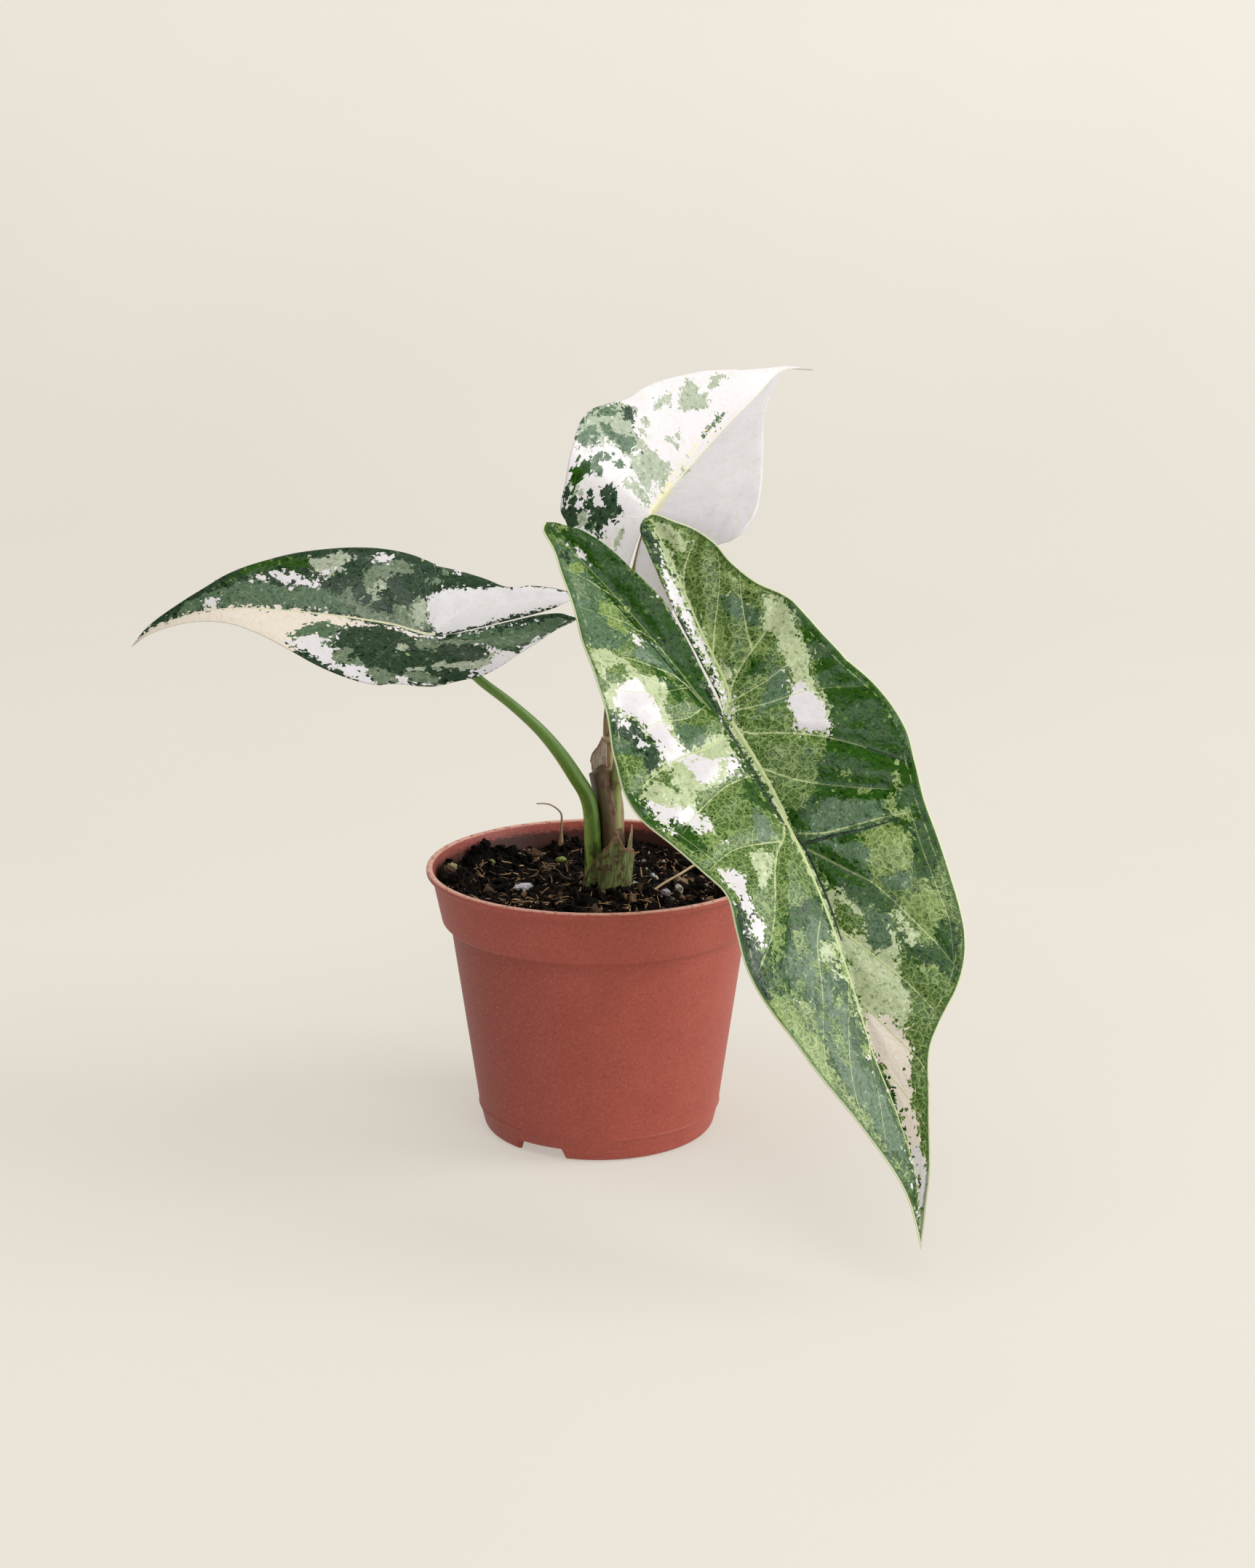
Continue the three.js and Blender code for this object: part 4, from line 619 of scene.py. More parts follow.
def unit(a):
    """Vectors at length 1."""
    return a / np.maximum(np.linalg.norm(a, axis=-1, keepdims=True), 1e-12)


def lattice_noise(x, y, size, seed):
    """Smooth noise from -1 to 1 with bumps about size across."""
    table = np.random.default_rng(seed).uniform(-1, 1, (64, 64))
    x, y = x / size + 500, y / size + 500
    i, j = np.floor(x).astype(int), np.floor(y).astype(int)
    s, t = x - i, y - j
    s, t = s * s * (3 - 2 * s), t * t * (3 - 2 * t)
    pick = lambda a, b: table[(i + a) % 64, (j + b) % 64]
    return ((pick(0, 0) * (1 - s) + pick(1, 0) * s) * (1 - t)
            + (pick(0, 1) * (1 - s) + pick(1, 1) * s) * t)


def quads(rows, columns, start=0, wrap=False):
    """Faces of a grid of points, closed into a tube by wrap."""
    i, j = np.meshgrid(np.arange(rows - 1), np.arange(columns if wrap else columns - 1), indexing="ij")
    k = (j + 1) % columns
    a = [i * columns + j, i * columns + k, (i + 1) * columns + k, (i + 1) * columns + j]
    return start + np.stack(a, -1).reshape(-1, 4)


# Materials

def linear(rgb):
    """A colour in screen levels from 0 to 255 as linear light."""
    c = np.array(rgb[:3], float) / 255
    return (*np.where(c <= 0.04045, c / 12.92, ((c + 0.055) / 1.055) ** 2.4), 1.0)


class Shade:
    """Builds a material's nodes; every call returns the socket that carries its result."""

    def __init__(self, name, roughness=0.5, **settings):
        self.material = bpy.data.materials.new(name)
        self.material.use_nodes = True
        self.tree = self.material.node_tree
        self.shader = self.tree.nodes["Principled BSDF"]
        self.shader.inputs["Roughness"].default_value = roughness
        for key, value in settings.items():
            self.shader.inputs[key.replace("_", " ")].default_value = value

    def node(self, kind, inputs, output=0, **settings):
        made = self.tree.nodes.new("ShaderNode" + kind)
        for key, value in settings.items():
            setattr(made, key, value)
        for key, value in inputs.items():
            self.put(made.inputs[key], value)
        return made.outputs[output]

    def put(self, socket, value):
        if isinstance(value, bpy.types.NodeSocket):
            self.tree.links.new(value, socket)
        else:
            socket.default_value = value

    def set(self, key, value):
        self.put(self.shader.inputs[key], value)

    def math(self, operation, *values, clamp=False):
        return self.node("Math", dict(enumerate(values)), operation=operation, use_clamp=clamp)

    def mix(self, factor, a, b, blend="MIX"):
        return self.node("Mix", {0: factor, 6: a, 7: b}, 2, data_type="RGBA", blend_type=blend)

    def times(self, a, b, clamp=False):
        return self.math("MULTIPLY", a, b, clamp=clamp)

    def tint(self, colour, share, rgb):
        """The colour moved by a share toward another, which is in screen levels."""
        return self.mix(share, colour, linear(rgb))

    def attribute(self, name):
        return self.node("Attribute", {}, 2, attribute_name=name)

    def flat(self):
        """The flat coordinates of the piece in millimetres."""
        uv = self.node("UVMap", {}, uv_map="flat_mm")
        return self.node("VectorMath", {0: uv, 3: 100.0}, operation="SCALE")

    def place(self):
        """The place on the object in millimetres."""
        at = self.node("TexCoord", {}, 3)
        return self.node("VectorMath", {0: at, 3: 1000.0}, operation="SCALE")

    def axis(self, vector, index):
        """One of a vector's x, y and z."""
        return self.node("SeparateXYZ", {0: vector}, index)

    def chance(self, vector):
        """A random value that is the same wherever the vector is."""
        return self.node("TexWhiteNoise", {"Vector": vector})

    def vector(self, operation, *values):
        return self.node("VectorMath", dict(enumerate(values)), operation=operation)

    def stretch(self, vector, x, y, z):
        return self.node("VectorMath", {0: vector, 1: (x, y, z)}, operation="MULTIPLY")

    def noise(self, vector, scale, detail=3.0, rough=0.55, output=0):
        inputs = {"Vector": vector, "Scale": scale, "Detail": detail, "Roughness": rough}
        return self.node("TexNoise", inputs, output)

    def cells(self, vector, scale, feature="DISTANCE_TO_EDGE", output=0):
        return self.node("TexVoronoi", {"Vector": vector, "Scale": scale}, output, feature=feature)

    def step(self, value, low, high):
        """0 below low and 1 above high."""
        inputs = {0: value, 1: low, 2: high}
        return self.node("MapRange", inputs, interpolation_type="SMOOTHSTEP")

    def bump(self, height, strength=0.3, distance=0.1):
        inputs = {"Height": height, "Strength": strength, "Distance": distance * MM}
        self.set("Normal", self.node("Bump", inputs))


def add_object(name, data):
    made = bpy.data.objects.new(name, data)
    bpy.context.scene.collection.objects.link(made)
    return made


# Blades

TONE_REACH = 5.0
BLADE_HALF = 0.24
MIDRIB_WIDTH = 0.6
BIG_CELLS, SMALL_CELLS = 0.42, 1.0


def parse(text, lead):
    """Rows of a few lead words and then u,v pairs; a line that starts with a space continues its row."""
    rows = [row.split() for row in text.strip().replace("\n ", " ").splitlines()]
    return [(row[:lead], np.array([pair.split(",") for pair in row[lead:]], float)) for row in rows]


class Blade:
    """A leaf blade's flat outline, its bends and its relief."""

    def __init__(self, leaf, veins, depth, wave):
        self.leaf, self.depth, self.wave = leaf, depth, wave
        self.tip = leaf["spine"][-1][0]
        self.veins = [(w[0], float(w[1]), float(w[2]), even_line(p, 40)) for w, p in parse(veins, 3)]
        self.costae = {s: even_line(leaf["costa"][s], 30) for s in (1, -1)}
        self.margins = {s: smooth_line(leaf["margin"][s], np.linspace(0, 1, 260)) for s in (1, -1)}
        self.sinuses = {s: smooth_line(leaf["sinus"][s], np.linspace(0, 1, 80)) for s in (1, -1)}

    def middle(self, uv):
        """The blade's middle surface."""
        leaf, (u, v) = self.leaf, uv.T
        first, last = leaf["spine"][0][0], self.tip
        centre = along(leaf["spine"], u)
        ahead = along(leaf["spine"], np.minimum(np.maximum(u, first) + 0.5, last))
        behind = along(leaf["spine"], np.maximum(np.minimum(u, last) - 0.5, first))
        t = unit(ahead - behind)
        centre = centre + t * (u - np.clip(u, first, last))[:, None]
        r = np.array(leaf["across"], float)
        r = unit(r - t * (t @ r)[:, None])
        n = np.cross(t, r)
        out = centre
        for side in (1, -1):
            here = (v < 0) if side < 0 else (v >= 0)
            degrees, curl = along(leaf["bend"][side], u).T
            start, w = np.radians(degrees), np.abs(v)
            k = np.where(np.abs(curl) < 1e-3, 1e-6, curl / 1000)
            x = (np.sin(start + k * w) - np.sin(start)) / k
            z = (np.cos(start) - np.cos(start + k * w)) / k
            costa = np.array(leaf["costa"][side], float)
            c = np.interp(u, costa[:, 0], costa[:, 1])
            rise = leaf["costa_fold"] * np.clip(-u / 25, 0, 1)
            z = z + np.where(v == 0, 0, rise * (np.hypot(v - c, 3) - np.hypot(c, 3)))
            out = out + np.where(here, side * x, 0)[:, None] * r + np.where(here, z, 0)[:, None] * n
        return out

    def normal(self, uv):
        du, dv = np.array([0.4, 0]), np.array([0, 0.4])
        along_u = self.middle(uv + du) - self.middle(uv - du)
        along_v = self.middle(uv + dv) - self.middle(uv - dv)
        return unit(np.cross(along_u, along_v))

    def edge(self, uv):
        """Distance to the margin."""
        return np.minimum(line_distance(uv, self.margins[1]), line_distance(uv, self.margins[-1]))

    def relief(self, uv):
        """Height of the upper face: it dips along the veins and swells between them."""
        u, v = uv.T
        thin = np.clip(1 - u / self.tip, 0.15, 1)
        dip = np.where(u > 0, np.exp(-(v / 2.2) ** 2) * np.clip(u / 4, 0, 1), 0)
        for side in (1, -1):
            dip = np.maximum(dip, 0.8 * np.exp(-(line_distance(uv, self.costae[side]) / 2.5) ** 2))
        for _, wide, _, line in self.veins:
            near = np.exp(-(line_distance(uv, line[::2]) / 3.2) ** 2)
            dip = np.maximum(dip, near * min(1, wide / 0.45))
        swell = 0.5 * lattice_noise(u, v, 9, 3) + 0.25 * lattice_noise(u, v, 4, 4)
        edge = self.edge(uv)
        wave = np.sin(u / 7.5 + 1.3 * np.sign(v)) + 0.6 * np.sin(u / 3.9 + 2.2 * np.sign(v))
        fade = np.clip(edge / 3, 0, 1)
        return (self.depth * thin * (0.3 - dip + swell * (1 - dip)) * fade
                + self.wave * wave * np.exp(-edge / 4) * np.clip(thin * 1.5, 0, 1))

    def lift(self, uv, height):
        return self.middle(uv) + self.normal(uv) * (self.relief(uv) + height)[:, None]

    def flat_strips(self, side, lobe_rows, blade_rows, columns):
        """Rows of flat points out to the margin, and rows in to the sinus."""
        turn = self.leaf["shoulder"][side] / (len(self.leaf["margin"][side]) - 1)
        s = np.linspace(0, 1, lobe_rows + 1)
        t = np.linspace(0, 1, blade_rows + 1)[1:]
        costa = even_line(self.leaf["costa"][side], lobe_rows + 1)
        sinus = even_line(self.leaf["sinus"][side], lobe_rows + 1)
        inner = np.vstack([costa, np.stack([self.tip * t, 0 * t], 1)])
        outer = smooth_line(self.leaf["margin"][side], np.concatenate([s * turn, turn + (1 - turn) * t]))
        f = np.linspace(0, 1, columns + 1)[None, :, None]
        g = np.linspace(0, 1, columns // 5 + 1)[None, :, None]
        outward = inner[:, None] * (1 - f) + outer[:, None] * f
        inward = costa[:, None] * (1 - g) + sinus[:, None] * g
        return outward, inward


def paint(uv, base, patches):
    """For each tone, the distance in from its border, from the patches laid one over another."""
    letters = sorted({base} | {words[0] for words, _ in patches})
    tones = {k: np.full(len(uv), TONE_REACH if k == base else -TONE_REACH) for k in letters}
    for words, outline in patches:
        d = np.clip(signed_distance(uv, outline), -TONE_REACH, TONE_REACH)
        for k in letters:
            tones[k] = np.maximum(tones[k], d) if k == words[0] else np.minimum(tones[k], -d)
    return tones


def make_piece(name, points, faces, material, nodes=(), values=None, flat=None, smooth=True):
    """One mesh object, in metres, that rides on the part."""
    mesh = bpy.data.meshes.new(name)
    mesh.from_pydata((np.asarray(points) * MM).tolist(), [], [list(map(int, f)) for f in faces])
    mesh.materials.append(material)
    mesh.polygons.foreach_set("use_smooth", [smooth] * len(mesh.polygons))
    for key, value in (values or {}).items():
        mesh.attributes.new(key, "FLOAT", "POINT").data.foreach_set("value", np.asarray(value, np.float32))
    if flat is not None:
        corner = np.empty(len(mesh.loops), np.int32)
        mesh.loops.foreach_get("vertex_index", corner)
        layer = mesh.uv_layers.new(name="flat_mm")
        layer.data.foreach_set("uv", (np.asarray(flat)[corner] / 100).astype(np.float32).ravel())
    mesh.update()
    made = add_object(name, mesh)
    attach(made, BODY)
    if nodes:
        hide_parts(*nodes)
    return made


def rib(blade, line, widths, heights, under):
    """Points, faces and flat places of one vein that stands a little above a face of the blade."""
    steps = len(line)
    run = np.linspace(0, 1, steps)
    way = unit(np.gradient(line, axis=0))
    side = np.stack([-way[:, 1], way[:, 0]], 1)
    half = widths[0] + (widths[1] - widths[0]) * run
    high = heights[0] + (heights[1] - heights[0]) * run
    across = np.array([-1, -0.6, 0, 0.6, 1])
    crown = np.array([-0.5, 0.66, 1, 0.66, -0.5])
    uv = (line[:, None] + side[:, None] * (half[:, None] * across)[..., None]).reshape(-1, 2)
    height = (high[:, None] * crown).ravel()
    points = blade.lift(uv, -BLADE_HALF - height if under else BLADE_HALF + height)
    faces = quads(steps, 5)
    return points, faces if under else faces[:, ::-1], uv


def make_blade(name, node, leaf, base, patches, veins, rows, depth, wave, material):
    """Both faces of a blade with its rim, joined by the ribs that stand on its veins."""
    blade = Blade(leaf, veins, depth, wave)
    flats, faces, count = [], [], 0
    for side in (1, -1):
        for n, strip in enumerate(blade.flat_strips(side, *rows)):
            r, c = strip.shape[:2]
            f = quads(r, c, count)
            faces.append(f if (side > 0) == (n == 0) else f[:, ::-1])
            flats.append(strip.reshape(-1, 2))
            count += r * c
    flats, faces = np.vstack(flats), np.vstack(faces)
    _, first, same = np.unique(np.round(flats, 3), axis=0, return_index=True, return_inverse=True)
    uv, faces = flats[first], same.ravel()[faces]
    n = len(uv)
    edge = blade.edge(uv)
    half = BLADE_HALF * (0.45 + 0.55 * np.clip(edge / 2, 0, 1))
    points = [blade.lift(uv, half), blade.lift(uv, -half)]
    pairs = np.vstack([faces[:, [k, (k + 1) % 4]] for k in range(4)])
    pairs = pairs[pairs[:, 0] != pairs[:, 1]]
    known = set(map(tuple, pairs.tolist()))
    rim = np.array([p for p in known if (p[1], p[0]) not in known])
    rims = np.stack([rim[:, 1], rim[:, 0], rim[:, 0] + n, rim[:, 1] + n], 1)
    every = [faces, faces[:, ::-1] + n, rims]
    flat_all, ribs, midribs, total = [uv, uv], [np.zeros(2 * n)], [np.zeros(2 * n)], 2 * n
    for kind, start, stop, line in blade.veins:
        pale = kind == "v"
        faces_of = [(False, (start, stop), (0.2 * start if pale else 0.07, 0.03))]
        if pale:
            faces_of.append((True, (start * 1.1, stop), (0.75 * start, 0.06)))
        for under, widths, heights in faces_of:
            p, f, flat = rib(blade, line, widths, heights, under)
            points.append(p)
            every.append(f + total)
            flat_all.append(flat)
            # pale veins carry 1, the dark lines of painted shade -1
            ribs.append(np.full(len(p), 1.0 if pale else -1.0))
            midribs.append(np.full(len(p), float(start >= MIDRIB_WIDTH)))
            total += len(p)
    points, flat_all = np.vstack(points), np.vstack(flat_all)
    tones = paint(flat_all, base, parse(patches, 1))
    values = {"tone_" + k: v for k, v in tones.items()}
    values["edge"] = blade.edge(flat_all)
    values["rib"] = np.concatenate(ribs)
    values["midrib"] = np.concatenate(midribs)
    under = np.zeros(total)
    under[n:2 * n] = 1
    values["under"] = under
    clean = [list(dict.fromkeys(f)) for f in np.vstack(every).tolist()]
    clean = [f for f in clean if len(f) > 2]
    make_piece(name, points, clean, material, [node], values, flat_all)


def leaf_material(name, base, patches, rib_colour, rib_share, margin_share, cast, ragged):
    """Marbled leaf skin: the tone whose border lies deepest wins, cell by cell, with ragged borders."""
    letters = sorted({base} | {words[0] for words, _ in parse(patches, 1)})
    s = Shade(name, Specular_IOR_Level=0.27)
    flat = s.flat()
    half = (0.5, 0.5, 0.5)
    wide = s.vector("SUBTRACT", s.noise(flat, 0.3, 4.0, 0.6, output=1), half)
    tight = s.vector("SUBTRACT", s.noise(flat, 1.6, 3.0, 0.6, output=1), half)
    shifted = s.vector("MULTIPLY_ADD", wide, (3.2, 3.2, 0), flat)
    shifted = s.vector("MULTIPLY_ADD", tight, (0.6, 0.6, 0), shifted)
    cell = s.cells(shifted, BIG_CELLS, "F1", 2)
    crumb = s.cells(shifted, SMALL_CELLS, "F1", 2)
    between = s.cells(shifted, BIG_CELLS)
    net = s.step(between, 0.07, 0.03)
    mesh = s.times(s.step(s.cells(shifted, SMALL_CELLS), 0.11, 0.04), 0.5)
    channels = []
    for k in range((len(letters) + 2) // 3):
        moved = s.vector("ADD", flat, (37.0 * k + 5, 11.0 * k, 3.0 * k))
        split = s.node("SeparateColor", {0: s.noise(moved, 0.32, 5.0, 0.62, output=1)}).node
        channels += list(split.outputs)
    blotch = s.noise(s.vector("ADD", flat, (91.0, 17.0, 5.0)), 0.42, 5.0, 0.65)
    chance = s.times(s.chance(crumb), 0.26)
    part = s.math("ADD", chance, s.math("MULTIPLY_ADD", blotch, 1.7, -0.48))
    low, high = s.step(part, 0.3, 0.4), s.step(part, 0.72, 0.8)
    lines = s.math("MAXIMUM", net, mesh)
    colour, best = None, None
    for k, letter in enumerate(letters):
        dark, middle, light, line, strength = TONES[letter]
        tone = s.tint(s.mix(low, linear(dark), linear(middle)), high, light)
        tone = s.tint(tone, s.times(lines, strength), line)
        big = s.chance(s.vector("ADD", cell, (k + 1.5, 0, 0)))
        small = s.chance(s.vector("ADD", crumb, (0, k + 2.5, 0)))
        border = s.attribute("tone_" + letter)
        depth = s.math("ADD", border, s.math("MULTIPLY_ADD", channels[k], ragged, -ragged / 2))
        island = s.times(s.math("POWER", small, 15.0), 3.4)
        depth = s.math("ADD", depth, s.math("MULTIPLY_ADD", big, 1.6, island))
        depth = s.math("MULTIPLY_ADD", small, 1.3, depth)
        if colour is None:
            colour, best = tone, depth
        else:
            over = s.step(s.math("SUBTRACT", depth, best), -0.06, 0.06)
            colour = s.mix(over, colour, tone)
            best = s.math("MAXIMUM", best, depth)
    shade = s.node("RGBToBW", {0: colour})
    fleck = s.chance(s.vector("ADD", crumb, (0, 0, 7.5)))
    fleck = s.step(s.math("MULTIPLY_ADD", channels[0], 0.1, fleck), 1.045, 1.05)
    fleck = s.times(fleck, s.step(shade, 0.16, 0.08))
    colour = s.tint(colour, s.times(fleck, 0.8), (160, 180, 112))
    colour = s.mix(s.step(shade, 0.55, 0.25), colour, (*cast, 1.0), "MULTIPLY")
    rib = s.attribute("rib")
    pale = s.math("MULTIPLY_ADD", s.step(shade, 0.04, 0.16), 0.6 * rib_share, 0.25 * rib_share)
    pale = s.times(rib, s.math("MAXIMUM", pale, s.attribute("midrib")), clamp=True)
    colour = s.tint(colour, pale, rib_colour)
    # painted shade: the dark vein lines are tinted deep green
    colour = s.tint(colour, s.times(rib, -0.9, clamp=True), (12, 34, 8))
    edge = s.math("MULTIPLY_ADD", s.noise(flat, 0.5, 3.0), 0.9, s.attribute("edge"))
    vein = s.step(s.math("ABSOLUTE", s.math("SUBTRACT", edge, 3.4)), 0.3, 0.1)
    vein = s.times(vein, s.step(blotch, 0.45, 0.6))
    colour = s.tint(colour, s.times(vein, 0.5 * margin_share), rib_colour)
    seam = s.times(s.step(edge, 1.9, 1.5), 0.7 * margin_share)
    colour = s.tint(colour, seam, (66, 96, 44))
    rim = s.times(s.step(s.attribute("edge"), 0.6, 0.3), margin_share)
    colour = s.tint(colour, rim, (210, 214, 172))
    under = s.attribute("under")
    colour = s.mix(under, colour, s.tint(colour, 0.45, (150, 170, 130)))
    s.set("Base Color", colour)
    gloss = s.math("MULTIPLY_ADD", s.noise(flat, 0.6, 3.0), 0.16, 0.2)
    s.set("Roughness", s.math("MULTIPLY_ADD", under, 0.25, gloss))
    dome = s.times(s.step(between, 0.0, 0.3), 0.7)
    swell = s.math("ADD", dome, s.times(s.noise(flat, 0.7, 2.0), 0.9))
    calm = s.math("MULTIPLY_ADD", s.step(s.attribute("tone_W"), 1.0, -1.0), 0.85, 0.15)
    s.bump(s.times(swell, calm), 0.4, 0.2)
    return s.material


# Stalks and sheaths

def sweep(line, sides, steps, outline=None):
    """A round stalk along a smooth centreline: points, faces, share of the length, way outward."""
    path = even_line(line["path"], steps)
    run = np.linspace(0, 1, steps)
    rods = [[k / (len(line["radius"]) - 1), r] for k, r in enumerate(line["radius"])]
    radius = along(rods, run)[:, 0]
    way = unit(np.gradient(path, axis=0))
    side = np.zeros_like(way)
    last = unit(np.cross(way[0], [0.0, 1.0, 0.02]))
    for k in range(steps):
        last = unit(last - way[k] * (last @ way[k]))
        side[k] = last
    back = np.cross(way, side)
    angle = np.linspace(0, 2 * np.pi, sides, endpoint=False)
    share, turn = np.meshgrid(run, angle, indexing="ij")
    reach = radius[:, None] * (outline(turn) if outline else 1.0)
    ring = side[:, None] * np.cos(turn)[..., None] + back[:, None] * np.sin(turn)[..., None]
    points = (path[:, None] + ring * reach[..., None]).reshape(-1, 3)
    ends = np.vstack([path[0], path[-1] + way[-1] * radius[-1] * 0.5])
    n = steps * sides
    caps = [[n, (j + 1) % sides, j] for j in range(sides)]
    caps += [[n + 1, n - sides + j, n - sides + (j + 1) % sides] for j in range(sides)]
    faces = quads(steps, sides, wrap=True).tolist() + caps
    share = np.append(share.ravel(), [0, 1])
    return np.vstack([points, ends]), faces, share, ring.reshape(-1, 3)


def stalk_material(name, tones, mottle):
    """Stalk skin: a painted shaded side, a painted lit side and mottling drawn out along its length."""
    s = Shade(name, 0.38)
    at = s.place()
    grain = s.noise(s.stretch(at, 1, 1, 0.22), 1.1, 5.0, 0.6)
    blotch = s.noise(s.stretch(at, 1, 1, 0.5), 0.35, 4.0)
    light = s.attribute("light")
    dark, middle, bright = (linear(t) for t in tones)
    # painted light: dark on the shaded side, middle between, bright on the lit side
    half_lit = s.step(s.math("MULTIPLY_ADD", grain, 0.35, light), 0.1, 0.62)
    lit = s.step(s.math("MULTIPLY_ADD", grain, 0.3, light), 0.62, 1.1)
    colour = s.mix(lit, s.mix(half_lit, dark, middle), bright)
    spots = s.times(s.step(blotch, 0.5, 0.62), s.attribute("mottle"))
    colour = s.tint(colour, spots, mottle)
    colour = s.tint(colour, s.attribute("ring"), (214, 196, 168))
    s.set("Base Color", colour)
    s.bump(grain, 0.35, 0.25)
    return s.material


def make_stalk(name, node, line, sides, steps, tones, mottle, mottled, light_from, ridge, ring_at=None):
    """A ridged stalk, painted lighter on the side that faces light_from; mottled gives the share of spots
    along it, and a pale ring may go round it.
    """
    def grooved(turn):
        waves = 0.5 * np.cos(3 * turn + 1) + 0.35 * np.cos(7 * turn) + 0.2 * np.cos(13 * turn)
        return 1 + ridge * waves

    points, faces, share, ring = sweep(line, sides, steps, grooved)
    # painted light: each point's share of light from the light_from side
    direction = unit(np.array(light_from, float))
    light = np.append(ring @ direction * 0.5 + 0.5, [0.5, 0.5])
    halo = np.zeros(len(points))
    if ring_at is not None:
        halo = np.exp(-((points[:, 2] - ring_at) / 0.7) ** 2)
    values = {"light": light, "mottle": mottled(share), "ring": halo}
    skin = stalk_material(name + "_skin", tones, mottle)
    make_piece(name, points, faces, skin, [node], values)


def make_sheath(name, node, sheath, material, thick, flare, ragged, seed):
    """A thin skin round the stem with a torn top edge."""
    rows, columns = 40, 90
    edge = sheath["edge"]
    degrees = np.linspace(edge[0][0], edge[-1][0], columns)
    top, radius = along(edge, degrees).T
    zero = np.zeros(columns)
    torn = lattice_noise(degrees, zero, 4, seed) + 0.6 * lattice_noise(degrees, zero, 1.7, seed + 1)
    top = top + ragged * torn
    share = np.linspace(0, 1, rows)[:, None]
    height = sheath["foot"] + (top - sheath["foot"]) * share
    crease = 0.12 * lattice_noise(degrees[None], height, 5, seed + 2)
    reach = radius * (0.9 + 0.1 * share) + flare * share ** 6 + crease
    angle = np.radians(degrees)[None]
    layers = []
    for inset in (0, thick):
        r = reach - inset * (1 - 0.6 * share ** 3)
        x = sheath["centre"][0] + r * np.sin(angle)
        y = sheath["centre"][1] - r * np.cos(angle)
        layers.append(np.stack([x, y, height], -1).reshape(-1, 3))
    n = rows * columns
    outer = quads(rows, columns)
    faces = np.vstack([outer, outer[:, ::-1] + n]).tolist()
    ring = (list(range(columns)) + [i * columns + columns - 1 for i in range(1, rows)]
            + [(rows - 1) * columns + j for j in range(columns - 2, -1, -1)]
            + [i * columns for i in range(rows - 2, 0, -1)])
    faces += [[ring[k], ring[k - 1], ring[k - 1] + n, ring[k] + n] for k in range(len(ring))]
    values = {"share": np.tile(np.repeat(share, columns), 2)}
    make_piece(name, np.vstack(layers), faces, material, [node], values)


def sheath_material(name, low, high, edge, spot, roughness=0.6):
    """Sheath skin with long grain, brown spots and a dry edge along its torn top."""
    s = Shade(name, roughness)
    at = s.place()
    grain = s.noise(s.stretch(at, 1, 1, 0.2), 1.2, 6.0, 0.65)
    share = s.attribute("share")
    colour = s.mix(s.step(grain, 0.38, 0.62), linear(low), linear(high))
    colour = s.tint(colour, s.times(s.step(s.noise(at, 0.5, 4.0), 0.52, 0.62), 0.8), spot)
    colour = s.tint(colour, s.step(s.math("MULTIPLY_ADD", grain, 0.12, share), 0.95, 1.05), edge)
    s.set("Base Color", colour)
    s.bump(grain, 0.5, 0.4)
    return s.material


# Pot

POT = {
    "rim": 60, "height": 95, "wall": 1.2, "step": 75, "body": 51.9, "band": 54.8, "band_corner": 1,
    "band_top": 91.6, "band_top_radius": 58, "line": 8.5, "line_radius": 42.9, "foot": 41,
    "foot_inner": 38.1, "corner": 2.5, "base": 4.3, "hub": 13, "hub_floor": 1.4,
    "web": 33.6, "plate": 33.9}
HOLES = {"radius": 3.5, "ring": 26, "degrees": range(-30, 330, 60)}
NOTCH = {"half": 10, "height": 3.95, "slope": 1.5, "degrees": [-30, 150]}


def softened(profile, reach):
    """A profile with each corner rounded off."""
    p = np.array(profile, float)
    out = [p[0]]
    for a, b, c in zip(p[:-2], p[1:-1], p[2:]):
        before, after = b - a, c - b
        cut = min(reach, 0.4 * np.linalg.norm(before), 0.4 * np.linalg.norm(after))
        start, stop = b - unit(before) * cut, b + unit(after) * cut
        out += [start * (1 - t) ** 2 + 2 * b * t * (1 - t) + stop * t ** 2 for t in (0, 0.33, 0.67, 1)]
    return np.array(out + [p[-1]])


def filled(profile, longest):
    """A profile with its long runs split, so the wall has rows to vary over."""
    out = [profile[0]]
    for a, b in zip(profile[:-1], profile[1:]):
        parts = max(1, int(np.ceil(np.linalg.norm(b - a) / longest)))
        out += [a + (b - a) * k / parts for k in range(1, parts + 1)]
    return np.array(out)


def spun(r, z, turn):
    """Points at radius r and height z, turned round the pot's axis from its front."""
    r, z, turn = np.broadcast_arrays(r, z, turn)
    return np.stack([r * np.sin(turn), -r * np.cos(turn), z], -1).reshape(-1, 3)


def outer_radius(z):
    """The pot's outer radius by height."""
    P = POT
    band = P["step"] + 0.3 + P["band_corner"]
    heights = [0, P["line"], P["step"], band, P["band_top"], P["band_top"] + 1.6]
    radii = [P["foot"], P["line_radius"], P["body"], P["band"], P["band_top_radius"], P["rim"]]
    return np.interp(z, heights, radii)


def inner_radius(z):
    """The pot's inner radius by height."""
    return np.interp(z, [5.5, 9.5, 74.4, 76.6, 91.6, 94.5], [38.3, 41.3, 50.6, 53.5, 56.7, 57.6])


